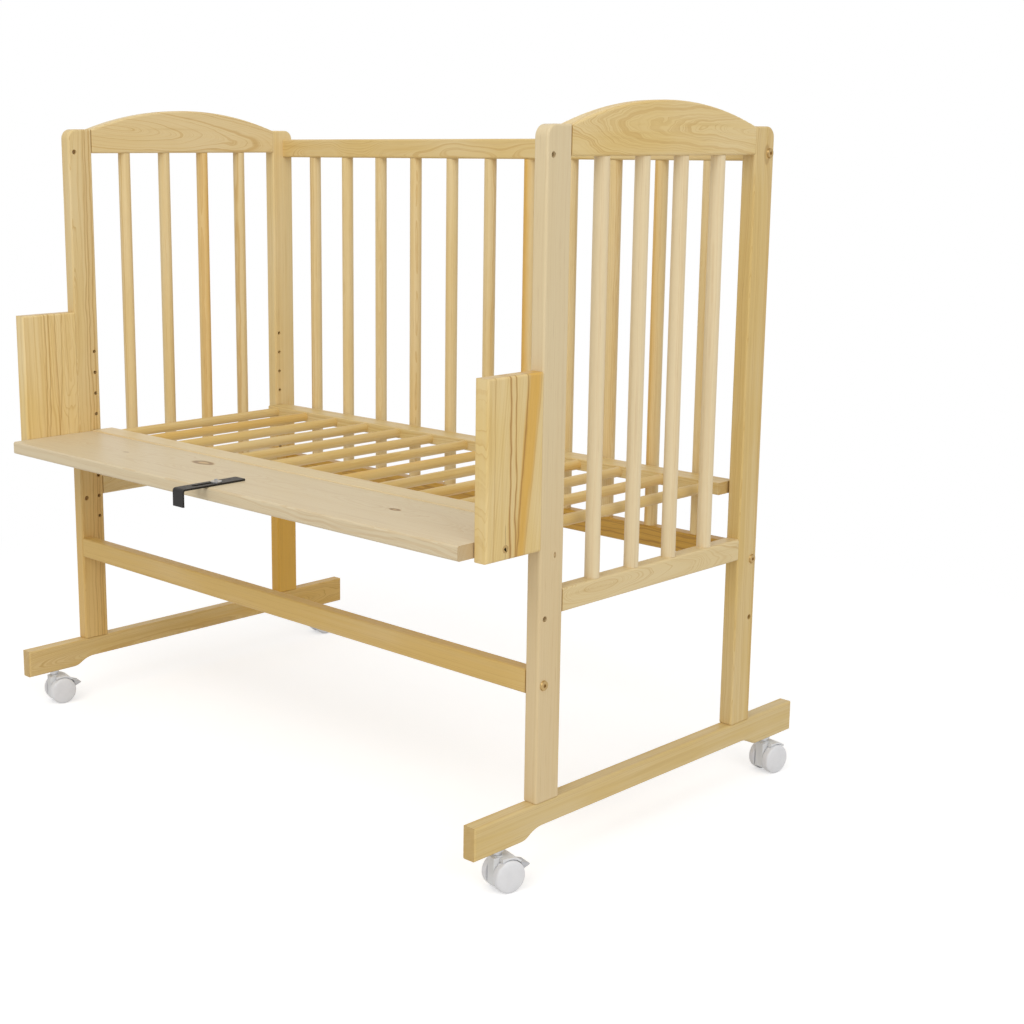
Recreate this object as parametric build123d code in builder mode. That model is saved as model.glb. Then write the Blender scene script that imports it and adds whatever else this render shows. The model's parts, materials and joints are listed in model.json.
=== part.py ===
from build123d import *
import math
import os

os.makedirs("parts", exist_ok=True)

# Bedside crib in pine: x runs along the crib, the open bed side faces -y, z is up from the floor.

# Overall frame
crib_length = 950.0
panel_depth = 434.0
panel_thickness = 20.0
edge_round = 3.0
foot_chamfer = 1.0

# Skids under the end panels
skid_length = 640.0
skid_height = 40.5
skid_relief = 11.0
skid_foot = 80.0
skid_ramp = 37.0
skid_shoulder_share = 0.35

# Posts
post_width = 41.0
post_length = 780.0
post_corner = 14.0

# End panel rails and spindles
end_top_rail_height = 35.0
arch_rise = 29.0
end_lower_rail_bottom = 318.0
end_lower_rail_height = 28.5
spindle_diameter = 18.0
tenon_diameter = 12.0
tenon_length = 12.0
tenon_clearance = 0.1
tenon_bottom_gap = 1.0
end_spindle_pitch = 74.4
spindle_margin = 45.0

# Back panel between the rear posts
back_top_rail_bottom = 829.5
back_lower_rail_bottom = 306.0
back_rail_height = 28.5
back_spindle_pitch = 77.2

# Stretcher between the front posts
stretcher_bottom = 223.5
stretcher_height = 29.5

# Knock-down bolts and barrel nuts
bolt_diameter = 6.0
bolt_hole_diameter = 7.0
bolt_head_diameter = 12.5
bolt_head_height = 2.0
bolt_socket = 4.0
bolt_socket_depth = 1.5
bolt_rise = 9.5
stretcher_bolt_rise = 12.5
bolt_end_gap = 3.0
bolt_past_nut = 8.0
nut_diameter = 10.0
nut_length = 14.0
nut_setback = 35.0
nut_clearance = 0.1

# Rows of blind holes that set the height of the mattress base
row_count = 9
row_step = 4
row_pitch = 32.0
row_start = 284.6
row_hole_diameter = 5.6
row_hole_depth = 10.0
row_inset = 8.0

# Mattress base of two rails and round dowels
base_rail_width = 36.0
base_rail_height = 16.0
base_side_gap = 4.0
base_end_gap = 2.0
base_dowel_diameter = 14.0
base_dowel_pitch = 72.1
base_dowel_margin = 12.0
base_tenon_diameter = 10.0
base_tenon_length = 14.0
support_pin_diameter = 5.4
support_pin_socket = 12.0

# Table board and its two cheeks on the bed side
board_thickness = 18.0
board_bottom = 401.0
board_front = 331.5
board_end_gap = 0.5
cheek_depth = 90.0
cheek_bottom = 397.0
cheek_height = 205.5
cheek_screw_y = 276.0
cheek_screw_diameter = 5.0
cheek_screw_length = 52.0
cheek_screw_head = 9.6
cheek_screw_clearance = 0.1
cheek_dowel_y = 240.0

# Hidden joint dowels
dowel_diameter = 8.0
dowel_depth = 18.0
dowel_clearance = 0.05
skid_dowel_spread = 22.0
cheek_dowel_spread = 120.0

# Sliding bed hook on the table board
strap_width = 21.0
strap_thickness = 2.5
strap_back = 103.0
strap_corner = 2.5
hook_overhang = 39.5
hook_lip = 23.5
hook_bend = 2.0
hook_screw_set = 22.5
hook_travel = 36.0
hook_slot_width = 6.5
hook_slot_play = 0.75
hook_screw_diameter = 5.0
hook_screw_depth = 14.0
hook_screw_head = 9.5
hook_screw_head_height = 2.6
hook_washer_diameter = 15.0
hook_washer_thickness = 1.2
hook_washer_bore = 5.4
hook_washer_gap = 0.1

# Twin-wheel casters
caster_height = 51.5
caster_y = 272.0
caster_offset = 9.0
wheel_diameter = 40.0
wheel_inner_x = 8.0
wheel_tread = 6.2
wheel_rim = 2.8
wheel_dome = 2.0
wheel_cap_radius = 6.0
axle_diameter = 6.0
axle_fit = 0.05
axle_press = 0.02
axle_half_length = 14.5
wheel_bore_depth = 7.0
web_thickness = 14.5
web_front = 9.0
web_bottom = 9.0
web_reach = 18.5
web_corner = 2.0
hood_width = 29.4
hood_wall = 2.3
hood_gap = 1.0
hood_front = 1.0
hood_end_angle = 48.0
stem_diameter = 8.0
stem_fit = 0.05
stem_in_skid = 26.0
stem_in_housing = 19.0
stem_neck_diameter = 11.0
stem_neck_gap = 0.3
stem_flange_diameter = 15.0
stem_flange_thickness = 2.0
stem_hole_clearance = 0.1
boss_diameter = 13.0
boss_height = 1.5
caster_turn = {
    "front_left": 12.0,
    "front_right": 15.0,
    "rear_left": 10.0,
    "rear_right": 10.0,
}

# Brake lever at the back of a front caster
brake_pivot_x = 11.0
brake_pivot_z = 9.0
brake_pin_diameter = 3.0
brake_pin_fit = 0.05
brake_hub_diameter = 8.0
brake_slot_width = 7.4
brake_side_gap = 0.3
brake_slot_gap = 0.8
brake_pad_width = 18.0
brake_pad_gap = 2.1
brake_tip_x = 33.0
brake_tip_z = 8.0
brake_root_low_angle = 8.0
brake_root_high_angle = 36.0
brake_tip_round = 1.2

# Places that follow from the sizes above
outer_x = crib_length / 2
inner_x = outer_x - panel_thickness
mid_x = outer_x - panel_thickness / 2
hook_front = board_front + hook_overhang
y_mid = (hook_front - skid_length / 2) / 2
skid_bottom = caster_height
post_bottom = skid_bottom + skid_height
post_top = post_bottom + post_length
post_y = panel_depth / 2 - post_width / 2
post_inner_y = panel_depth / 2 - post_width
panel_y = panel_depth / 2 - panel_thickness / 2
end_rail_bottom = post_top - end_top_rail_height
end_lower_rail_top = end_lower_rail_bottom + end_lower_rail_height
back_lower_rail_top = back_lower_rail_bottom + back_rail_height
bolt_heights = (
    back_top_rail_bottom + bolt_rise,
    back_lower_rail_bottom + bolt_rise,
    stretcher_bottom + stretcher_bolt_rise,
)
bolt_in_rail = nut_setback + bolt_past_nut
tenon_hole_radius = tenon_diameter / 2 + tenon_clearance
tenon_hole_depth = tenon_length + tenon_bottom_gap
row_y = post_inner_y + row_inset
base_z = row_start + row_pitch * row_step
base_outer_y = panel_depth / 2 - panel_thickness - base_side_gap
base_rail_y = base_outer_y - base_rail_width / 2
base_half_length = inner_x - base_end_gap
board_top = board_bottom + board_thickness
board_mid = board_bottom + board_thickness / 2
board_half_length = inner_x - board_end_gap
cheek_y = panel_depth / 2 + cheek_depth / 2
cheek_mid = cheek_bottom + cheek_height / 2
dowel_hole_radius = dowel_diameter / 2 + dowel_clearance
end_spindle_count = 2 * int((post_inner_y - spindle_margin) / end_spindle_pitch + 0.5)
back_spindle_count = 2 * int((inner_x - spindle_margin) / back_spindle_pitch) + 1
base_dowel_count = 2 * int((base_half_length - base_dowel_margin) / base_dowel_pitch) + 1
wheel_radius = wheel_diameter / 2
hood_inner = wheel_radius + hood_gap
hood_outer = hood_inner + hood_wall
hood_top = wheel_radius + hood_outer
wheel_outer_x = wheel_inner_x + wheel_tread + wheel_rim + wheel_dome


# Writes one finished piece under its own name.
def save(piece, name):
    piece.label = name
    export_step(piece, "parts/" + name + ".step")


# A plane across an end panel, with local x along +y and local y along +z.
def panel_plane(side):
    return Plane(origin=(side * inner_x, y_mid, 0), x_dir=(0, 1, 0), z_dir=(1, 0, 0))


# A plane square to y at the middle of an end panel's thickness.
def cross_plane(x, y):
    return Plane(origin=(x, y_mid + y, 0), x_dir=(1, 0, 0), z_dir=(0, -1, 0))


# Round edges are picked away from both ends of the piece.
def between(edges, low, high):
    return edges.filter_by(lambda e: low < e.center().Y - y_mid < high)


sides = (("left", -1), ("right", 1))
ends = (("front", -1), ("rear", 1))

# Posts, with bolt holes, the row of base holes and sockets for the joint dowels
for side_name, side in sides:
    for end_name, end in ends:
        with BuildPart() as post:
            with BuildSketch(panel_plane(side)) as outline:
                with Locations((end * post_y, post_bottom + post_length / 2)):
                    Rectangle(post_width, post_length)
                corner = outline.vertices().group_by(Axis.Y)[-1].sort_by(Axis.X)
                fillet(corner[-1] if end > 0 else corner[0], radius=post_corner)
            extrude(amount=side * panel_thickness)
            rims = post.faces().filter_by(Axis.X).edges()
            upper = rims.filter_by(lambda e: e.center().Z > post_bottom + 1)
            fillet(upper, radius=edge_round)
            chamfer(post.faces().sort_by(Axis.Z)[0].edges(), length=foot_chamfer)
            with BuildSketch(panel_plane(side)):
                with Locations([(end * panel_y, z) for z in bolt_heights]):
                    Circle(bolt_hole_diameter / 2)
            extrude(amount=side * panel_thickness, mode=Mode.SUBTRACT)
            with BuildSketch(panel_plane(side)):
                with Locations([(end * row_y, row_start + row_pitch * k) for k in range(row_count)]):
                    Circle(row_hole_diameter / 2)
            extrude(amount=side * row_hole_depth, mode=Mode.SUBTRACT)
            with BuildSketch(cross_plane(side * mid_x, end * post_inner_y)):
                with Locations(
                    (0, end_rail_bottom + end_top_rail_height / 2),
                    (0, end_lower_rail_bottom + end_lower_rail_height / 2),
                ):
                    Circle(dowel_hole_radius)
            extrude(amount=-end * dowel_depth, mode=Mode.SUBTRACT)
            with BuildSketch(Plane.XY.offset(post_bottom)):
                with Locations((side * mid_x, y_mid + end * post_y)):
                    with GridLocations(0, skid_dowel_spread, 1, 2):
                        Circle(dowel_hole_radius)
            extrude(amount=dowel_depth, mode=Mode.SUBTRACT)
            if end < 0:
                with BuildSketch(cross_plane(side * mid_x, -panel_depth / 2)):
                    with Locations((0, cheek_mid)):
                        with GridLocations(0, cheek_dowel_spread, 1, 2):
                            Circle(dowel_hole_radius)
                extrude(amount=-dowel_depth, mode=Mode.SUBTRACT)
        save(post.part, side_name + "_" + end_name + "_post")

# Skids with a raised middle and a double curve down to each foot
for side_name, side in sides:
    with BuildPart() as skid:
        with BuildSketch(panel_plane(side)):
            with BuildLine() as profile:
                for end in (-1, 1):
                    tip = end * skid_length / 2
                    foot = end * (skid_length / 2 - skid_foot)
                    neck = foot - end * skid_ramp
                    turn_x = foot - end * skid_ramp * skid_shoulder_share
                    turn_z = skid_bottom + skid_relief * skid_shoulder_share
                    Line((tip, post_bottom), (tip, skid_bottom))
                    Line((tip, skid_bottom), (foot, skid_bottom))
                    shoulder = TangentArc((foot, skid_bottom), (turn_x, turn_z), tangent=(-end, 0))
                    TangentArc((turn_x, turn_z), (neck, skid_bottom + skid_relief), tangent=shoulder % 1)
                Line((-skid_length / 2, post_bottom), (skid_length / 2, post_bottom))
                inner = skid_length / 2 - skid_foot - skid_ramp
                Line((-inner, skid_bottom + skid_relief), (inner, skid_bottom + skid_relief))
            make_face()
        extrude(amount=side * panel_thickness)
        fillet(skid.faces().filter_by(Axis.X).edges(), radius=edge_round)
        with BuildSketch(Plane.XY.offset(skid_bottom)):
            with Locations((side * mid_x, y_mid)):
                with GridLocations(0, 2 * caster_y, 1, 2):
                    Circle(stem_diameter / 2 + stem_hole_clearance)
        extrude(amount=stem_in_skid, mode=Mode.SUBTRACT)
        with BuildSketch(Plane.XY.offset(post_bottom)):
            with Locations((side * mid_x, y_mid)):
                with GridLocations(0, 2 * post_y, 1, 2):
                    with GridLocations(0, skid_dowel_spread, 1, 2):
                        Circle(dowel_hole_radius)
        extrude(amount=-dowel_depth, mode=Mode.SUBTRACT)
    save(skid.part, side_name + "_skid")

# Arched top rails of the end panels
for side_name, side in sides:
    with BuildPart() as top_rail:
        with BuildSketch(panel_plane(side)):
            with BuildLine():
                Polyline(
                    (-post_inner_y, post_top),
                    (-post_inner_y, end_rail_bottom),
                    (post_inner_y, end_rail_bottom),
                    (post_inner_y, post_top),
                )
                ThreePointArc(
                    (post_inner_y, post_top), (0, post_top + arch_rise), (-post_inner_y, post_top)
                )
            make_face()
        extrude(amount=side * panel_thickness)
        rims = top_rail.faces().filter_by(Axis.X).edges()
        fillet(between(rims, 1 - post_inner_y, post_inner_y - 1), radius=edge_round)
        with BuildSketch(Plane.XY.offset(end_rail_bottom)):
            with Locations((side * mid_x, y_mid)):
                with GridLocations(0, end_spindle_pitch, 1, end_spindle_count):
                    Circle(tenon_hole_radius)
        extrude(amount=tenon_hole_depth, mode=Mode.SUBTRACT)
        for end in (-1, 1):
            with BuildSketch(cross_plane(side * mid_x, end * post_inner_y)):
                with Locations((0, end_rail_bottom + end_top_rail_height / 2)):
                    Circle(dowel_hole_radius)
            extrude(amount=end * dowel_depth, mode=Mode.SUBTRACT)
    save(top_rail.part, side_name + "_top_rail")

# Lower rails of the end panels
for side_name, side in sides:
    with BuildPart() as lower_rail:
        with BuildSketch(panel_plane(side)):
            with Locations((0, end_lower_rail_bottom + end_lower_rail_height / 2)):
                Rectangle(2 * post_inner_y, end_lower_rail_height)
        extrude(amount=side * panel_thickness)
        fillet(lower_rail.edges().filter_by(Axis.Y), radius=edge_round)
        with BuildSketch(Plane.XY.offset(end_lower_rail_top)):
            with Locations((side * mid_x, y_mid)):
                with GridLocations(0, end_spindle_pitch, 1, end_spindle_count):
                    Circle(tenon_hole_radius)
        extrude(amount=-tenon_hole_depth, mode=Mode.SUBTRACT)
        for end in (-1, 1):
            with BuildSketch(cross_plane(side * mid_x, end * post_inner_y)):
                with Locations((0, end_lower_rail_bottom + end_lower_rail_height / 2)):
                    Circle(dowel_hole_radius)
            extrude(amount=end * dowel_depth, mode=Mode.SUBTRACT)
    save(lower_rail.part, side_name + "_lower_rail")

# Round spindles of the end panels, each with a tenon at both ends
for side_name, side in sides:
    with BuildPart() as spindles:
        with BuildSketch(Plane.XY.offset(end_lower_rail_top)):
            with Locations((side * mid_x, y_mid)):
                with GridLocations(0, end_spindle_pitch, 1, end_spindle_count):
                    Circle(spindle_diameter / 2)
        extrude(amount=end_rail_bottom - end_lower_rail_top)
        with BuildSketch(Plane.XY.offset(end_lower_rail_top - tenon_length)):
            with Locations((side * mid_x, y_mid)):
                with GridLocations(0, end_spindle_pitch, 1, end_spindle_count):
                    Circle(tenon_diameter / 2)
        extrude(amount=end_rail_bottom - end_lower_rail_top + 2 * tenon_length)
    save(spindles.part, side_name + "_spindles")


# What is cut from a long rail: a bolt socket in both ends and a hole from below for each barrel nut.
def rail_sockets(y, bottom, rise):
    with BuildPart() as sockets:
        for side in (-1, 1):
            end_face = Plane(
                origin=(side * inner_x, y_mid + y, 0), x_dir=(0, 1, 0), z_dir=(1, 0, 0)
            )
            with BuildSketch(end_face):
                with Locations((0, bottom + rise)):
                    Circle(bolt_hole_diameter / 2)
            extrude(amount=-side * (bolt_in_rail + bolt_end_gap))
        with BuildSketch(Plane.XY.offset(bottom)):
            with Locations((0, y_mid + y)):
                with GridLocations(2 * (inner_x - nut_setback), 0, 2, 1):
                    Circle(nut_diameter / 2 + nut_clearance)
        extrude(amount=rise + nut_length / 2)
    return sockets.part


top_sockets = rail_sockets(panel_y, back_top_rail_bottom, bolt_rise)
lower_sockets = rail_sockets(panel_y, back_lower_rail_bottom, bolt_rise)
stretcher_sockets = rail_sockets(-panel_y, stretcher_bottom, stretcher_bolt_rise)

# Back panel rails
with BuildPart() as back_top_rail:
    with BuildSketch(Plane.XY.offset(back_top_rail_bottom)):
        with Locations((0, y_mid + panel_y)):
            Rectangle(2 * inner_x, panel_thickness)
    extrude(amount=back_rail_height)
    fillet(back_top_rail.edges().filter_by(Axis.X), radius=edge_round)
    with BuildSketch(Plane.XY.offset(back_top_rail_bottom)):
        with Locations((0, y_mid + panel_y)):
            with GridLocations(back_spindle_pitch, 0, back_spindle_count, 1):
                Circle(tenon_hole_radius)
    extrude(amount=tenon_hole_depth, mode=Mode.SUBTRACT)
    add(top_sockets, mode=Mode.SUBTRACT)
save(back_top_rail.part, "back_top_rail")

with BuildPart() as back_lower_rail:
    with BuildSketch(Plane.XY.offset(back_lower_rail_bottom)):
        with Locations((0, y_mid + panel_y)):
            Rectangle(2 * inner_x, panel_thickness)
    extrude(amount=back_rail_height)
    fillet(back_lower_rail.edges().filter_by(Axis.X), radius=edge_round)
    with BuildSketch(Plane.XY.offset(back_lower_rail_top)):
        with Locations((0, y_mid + panel_y)):
            with GridLocations(back_spindle_pitch, 0, back_spindle_count, 1):
                Circle(tenon_hole_radius)
    extrude(amount=-tenon_hole_depth, mode=Mode.SUBTRACT)
    add(lower_sockets, mode=Mode.SUBTRACT)
save(back_lower_rail.part, "back_lower_rail")

with BuildPart() as back_spindles:
    with BuildSketch(Plane.XY.offset(back_lower_rail_top)):
        with Locations((0, y_mid + panel_y)):
            with GridLocations(back_spindle_pitch, 0, back_spindle_count, 1):
                Circle(spindle_diameter / 2)
    extrude(amount=back_top_rail_bottom - back_lower_rail_top)
    with BuildSketch(Plane.XY.offset(back_lower_rail_top - tenon_length)):
        with Locations((0, y_mid + panel_y)):
            with GridLocations(back_spindle_pitch, 0, back_spindle_count, 1):
                Circle(tenon_diameter / 2)
    extrude(amount=back_top_rail_bottom - back_lower_rail_top + 2 * tenon_length)
save(back_spindles.part, "back_spindles")

# Stretcher between the front posts
with BuildPart() as stretcher:
    with BuildSketch(Plane.XY.offset(stretcher_bottom)):
        with Locations((0, y_mid - panel_y)):
            Rectangle(2 * inner_x, panel_thickness)
    extrude(amount=stretcher_height)
    fillet(stretcher.edges().filter_by(Axis.X), radius=edge_round)
    add(stretcher_sockets, mode=Mode.SUBTRACT)
save(stretcher.part, "stretcher")

# Bolts with low round heads and hex sockets: two in each rear post, one in each front post
with BuildPart() as frame_bolts:
    for side in (-1, 1):
        seats = [(panel_y, bolt_heights[0]), (panel_y, bolt_heights[1]), (-panel_y, bolt_heights[2])]
        outer_face = Plane(origin=(side * outer_x, y_mid, 0), x_dir=(0, 1, 0), z_dir=(1, 0, 0))
        with BuildSketch(outer_face):
            with Locations(seats):
                Circle(bolt_head_diameter / 2)
        extrude(amount=side * bolt_head_height)
        with BuildSketch(outer_face):
            with Locations(seats):
                Circle(bolt_diameter / 2)
        extrude(amount=-side * (panel_thickness + bolt_in_rail))
        with BuildSketch(outer_face.offset(side * bolt_head_height)):
            with Locations(seats):
                RegularPolygon(bolt_socket / 2, 6, major_radius=False)
        extrude(amount=-side * bolt_socket_depth, mode=Mode.SUBTRACT)
    rims = frame_bolts.edges().filter_by(GeomType.CIRCLE)
    rims = rims.filter_by(lambda e: abs(e.center().X) > outer_x + bolt_head_height / 2)
    chamfer(rims, length=bolt_head_height / 3)
save(frame_bolts.part, "frame_bolts")

# Barrel nuts that the bolts screw into
with BuildPart() as barrel_nuts:
    for y, bottom, rise in (
        (panel_y, back_top_rail_bottom, bolt_rise),
        (panel_y, back_lower_rail_bottom, bolt_rise),
        (-panel_y, stretcher_bottom, stretcher_bolt_rise),
    ):
        with BuildSketch(Plane.XY.offset(bottom + rise - nut_length / 2)):
            with Locations((0, y_mid + y)):
                with GridLocations(2 * (inner_x - nut_setback), 0, 2, 1):
                    Circle(nut_diameter / 2)
        extrude(amount=nut_length)
    for y, height in (
        (panel_y, bolt_heights[0]),
        (panel_y, bolt_heights[1]),
        (-panel_y, bolt_heights[2]),
    ):
        with BuildSketch(Plane.YZ):
            with Locations((y_mid + y, height)):
                Circle(bolt_diameter / 2 + nut_clearance)
        extrude(amount=inner_x, both=True, mode=Mode.SUBTRACT)
save(barrel_nuts.part, "barrel_nuts")

# Mattress base rails, with blind holes for the round dowels and the support pins
for rail_name, end in ends:
    with BuildPart() as base_rail:
        with BuildSketch(Plane.XY.offset(base_z - base_rail_height / 2)):
            with Locations((0, y_mid + end * base_rail_y)):
                Rectangle(2 * base_half_length, base_rail_width)
        extrude(amount=base_rail_height)
        fillet(base_rail.edges().filter_by(Axis.X), radius=edge_round / 2)
        with BuildSketch(cross_plane(0, end * (base_outer_y - base_rail_width))):
            with Locations((0, base_z)):
                with GridLocations(base_dowel_pitch, 0, base_dowel_count, 1):
                    Circle(base_tenon_diameter / 2 + tenon_clearance)
        extrude(amount=-end * (base_tenon_length + tenon_bottom_gap), mode=Mode.SUBTRACT)
        for side in (-1, 1):
            rail_end = Plane(
                origin=(side * base_half_length, y_mid, 0), x_dir=(0, 1, 0), z_dir=(1, 0, 0)
            )
            with BuildSketch(rail_end):
                with Locations((end * row_y, base_z)):
                    Circle(row_hole_diameter / 2)
            extrude(amount=-side * support_pin_socket, mode=Mode.SUBTRACT)
    save(base_rail.part, "base_" + rail_name + "_rail")

with BuildPart() as base_dowels:
    with BuildSketch(cross_plane(0, 0)):
        with Locations((0, base_z)):
            with GridLocations(base_dowel_pitch, 0, base_dowel_count, 1):
                Circle(base_dowel_diameter / 2)
    extrude(amount=base_outer_y - base_rail_width, both=True)
    with BuildSketch(cross_plane(0, 0)):
        with Locations((0, base_z)):
            with GridLocations(base_dowel_pitch, 0, base_dowel_count, 1):
                Circle(base_tenon_diameter / 2)
    extrude(amount=base_outer_y - base_rail_width + base_tenon_length, both=True)
save(base_dowels.part, "base_dowels")

# Pins from the post holes into the base rails
with BuildPart() as base_support_pins:
    for side in (-1, 1):
        with BuildSketch(panel_plane(side).offset(side * row_hole_depth)):
            with Locations((0, base_z)):
                with GridLocations(2 * row_y, 0, 2, 1):
                    Circle(support_pin_diameter / 2)
        extrude(amount=-side * (row_hole_depth + base_end_gap + support_pin_socket))
save(base_support_pins.part, "base_support_pins")

# Table board between the cheeks, against the front rail of the base
with BuildPart() as table_board:
    with BuildSketch(Plane.XY.offset(board_bottom)):
        with Locations((0, y_mid - (board_front + base_outer_y) / 2)):
            Rectangle(2 * board_half_length, board_front - base_outer_y)
    extrude(amount=board_thickness)
    fillet(table_board.edges().filter_by(Axis.X).group_by(Axis.Y)[0], radius=edge_round)
    for side in (-1, 1):
        board_end = Plane(
            origin=(side * board_half_length, y_mid, 0), x_dir=(0, 1, 0), z_dir=(1, 0, 0)
        )
        with BuildSketch(board_end):
            with Locations((-cheek_screw_y, board_mid)):
                Circle(cheek_screw_diameter / 2 + cheek_screw_clearance)
        extrude(amount=-side * cheek_screw_length, mode=Mode.SUBTRACT)
        with BuildSketch(board_end):
            with Locations((-cheek_dowel_y, board_mid)):
                Circle(dowel_hole_radius)
        extrude(amount=-side * dowel_depth, mode=Mode.SUBTRACT)
    with BuildSketch(Plane.XY.offset(board_top)):
        with Locations((0, y_mid - board_front + hook_screw_set)):
            Circle(hook_screw_diameter / 2 + cheek_screw_clearance)
    extrude(amount=-hook_screw_depth, mode=Mode.SUBTRACT)
save(table_board.part, "table_board")

# Cheeks that stand in front of the posts and carry the table board
head_depth = (cheek_screw_head - cheek_screw_diameter) / 2
for side_name, side in sides:
    with BuildPart() as cheek:
        with BuildSketch(panel_plane(side)):
            with Locations((-cheek_y, cheek_mid)):
                Rectangle(cheek_depth, cheek_height)
        extrude(amount=side * panel_thickness)
        rims = cheek.faces().filter_by(Axis.X).edges()
        rims = between(rims, -panel_depth, -panel_depth / 2 - 1)
        fillet(rims, radius=edge_round)
        outer_face = Plane(origin=(side * outer_x, y_mid, 0), x_dir=(0, 1, 0), z_dir=(1, 0, 0))
        with BuildSketch(outer_face) as mouth:
            with Locations((-cheek_screw_y, board_mid)):
                Circle(cheek_screw_head / 2)
        with BuildSketch(outer_face.offset(-side * head_depth)) as throat:
            with Locations((-cheek_screw_y, board_mid)):
                Circle(cheek_screw_diameter / 2)
        loft(mode=Mode.SUBTRACT)
        with BuildSketch(outer_face):
            with Locations((-cheek_screw_y, board_mid)):
                Circle(cheek_screw_diameter / 2 + cheek_screw_clearance)
        extrude(amount=-side * panel_thickness, mode=Mode.SUBTRACT)
        with BuildSketch(panel_plane(side)):
            with Locations((-cheek_dowel_y, board_mid)):
                Circle(dowel_hole_radius)
        extrude(amount=side * dowel_depth / 2, mode=Mode.SUBTRACT)
        with BuildSketch(cross_plane(side * mid_x, -panel_depth / 2)):
            with Locations((0, cheek_mid)):
                with GridLocations(0, cheek_dowel_spread, 1, 2):
                    Circle(dowel_hole_radius)
        extrude(amount=dowel_depth, mode=Mode.SUBTRACT)
    save(cheek.part, side_name + "_cheek")

# Countersunk screws through the cheeks into the board's ends
with BuildPart() as cheek_screws:
    for side in (-1, 1):
        outer_face = Plane(origin=(side * outer_x, y_mid, 0), x_dir=(0, 1, 0), z_dir=(1, 0, 0))
        with BuildSketch(outer_face):
            with Locations((-cheek_screw_y, board_mid)):
                Circle(cheek_screw_head / 2)
        with BuildSketch(outer_face.offset(-side * head_depth)):
            with Locations((-cheek_screw_y, board_mid)):
                Circle(cheek_screw_diameter / 2)
        loft()
        with BuildSketch(outer_face.offset(-side * head_depth / 2)):
            with Locations((-cheek_screw_y, board_mid)):
                Circle(cheek_screw_diameter / 2)
        extrude(amount=-side * (cheek_screw_length - head_depth / 2))
save(cheek_screws.part, "cheek_screws")

# Hidden dowels: rails to posts, posts to skids, cheeks to posts, board to cheeks
with BuildPart() as joint_dowels:
    for side in (-1, 1):
        for end in (-1, 1):
            start = end * (post_inner_y - dowel_depth)
            with BuildSketch(cross_plane(side * mid_x, start)):
                with Locations(
                    (0, end_rail_bottom + end_top_rail_height / 2),
                    (0, end_lower_rail_bottom + end_lower_rail_height / 2),
                ):
                    Circle(dowel_diameter / 2)
            extrude(amount=-end * 2 * dowel_depth)
        with BuildSketch(Plane.XY.offset(post_bottom - dowel_depth)):
            with Locations((side * mid_x, y_mid)):
                with GridLocations(0, 2 * post_y, 1, 2):
                    with GridLocations(0, skid_dowel_spread, 1, 2):
                        Circle(dowel_diameter / 2)
        extrude(amount=2 * dowel_depth)
        with BuildSketch(cross_plane(side * mid_x, dowel_depth - panel_depth / 2)):
            with Locations((0, cheek_mid)):
                with GridLocations(0, cheek_dowel_spread, 1, 2):
                    Circle(dowel_diameter / 2)
        extrude(amount=2 * dowel_depth)
        with BuildSketch(panel_plane(side).offset(side * dowel_depth / 2)):
            with Locations((-cheek_dowel_y, board_mid)):
                Circle(dowel_diameter / 2)
        extrude(amount=-side * (1.5 * dowel_depth + board_end_gap))
save(joint_dowels.part, "joint_dowels")

# Flat strap that slides on the board and hooks over the bed rail
strap_rear = strap_back - hook_front
screw_y = hook_screw_set - board_front
with BuildPart() as bed_hook:
    with BuildSketch(Plane(origin=(0, y_mid, 0), x_dir=(0, 1, 0), z_dir=(1, 0, 0))) as bend:
        with BuildLine():
            Polyline(
                (strap_rear, board_top),
                (strap_rear, board_top + strap_thickness),
                (-hook_front, board_top + strap_thickness),
                (-hook_front, board_top + strap_thickness - hook_lip),
                (strap_thickness - hook_front, board_top + strap_thickness - hook_lip),
                (strap_thickness - hook_front, board_top),
                close=True,
            )
        make_face()
        outer_bend = bend.vertices().group_by(Axis.Y)[-1].sort_by(Axis.X)[0]
        fillet(outer_bend, radius=hook_bend + strap_thickness)
        inner_bend = bend.vertices().group_by(Axis.X)[1].sort_by(Axis.Y)[-1]
        fillet(inner_bend, radius=hook_bend)
    extrude(amount=strap_width / 2, both=True)
    tail = bed_hook.faces().sort_by(Axis.Y)[-1].edges().filter_by(Axis.Z)
    fillet(tail, radius=strap_corner)
    with BuildSketch(Plane.XY.offset(board_top)):
        with Locations((0, y_mid + screw_y - hook_travel / 2)):
            SlotOverall(
                hook_travel + hook_screw_diameter + 2 * hook_slot_play, hook_slot_width, rotation=90
            )
    extrude(amount=strap_thickness, mode=Mode.SUBTRACT)
save(bed_hook.part, "bed_hook")

# Washer and screw that clamp the strap
washer_bottom = board_top + strap_thickness + hook_washer_gap
with BuildPart() as hook_washer:
    with BuildSketch(Plane.XY.offset(washer_bottom)):
        with Locations((0, y_mid + screw_y)):
            Circle(hook_washer_diameter / 2)
            Circle(hook_washer_bore / 2, mode=Mode.SUBTRACT)
    extrude(amount=hook_washer_thickness)
save(hook_washer.part, "hook_washer")

with BuildPart() as hook_screw:
    with BuildSketch(Plane.XY.offset(washer_bottom + hook_washer_thickness)):
        with Locations((0, y_mid + screw_y)):
            Circle(hook_screw_head / 2)
    extrude(amount=hook_screw_head_height)
    rim = hook_screw.edges().filter_by(GeomType.CIRCLE).sort_by(Axis.Z)[-1]
    chamfer(rim, length=hook_screw_head_height / 2)
    with BuildSketch(Plane.XY.offset(board_top - hook_screw_depth)):
        with Locations((0, y_mid + screw_y)):
            Circle(hook_screw_diameter / 2)
    extrude(amount=hook_screw_depth + strap_thickness + hook_washer_gap + hook_washer_thickness)
save(hook_screw.part, "hook_screw")

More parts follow.
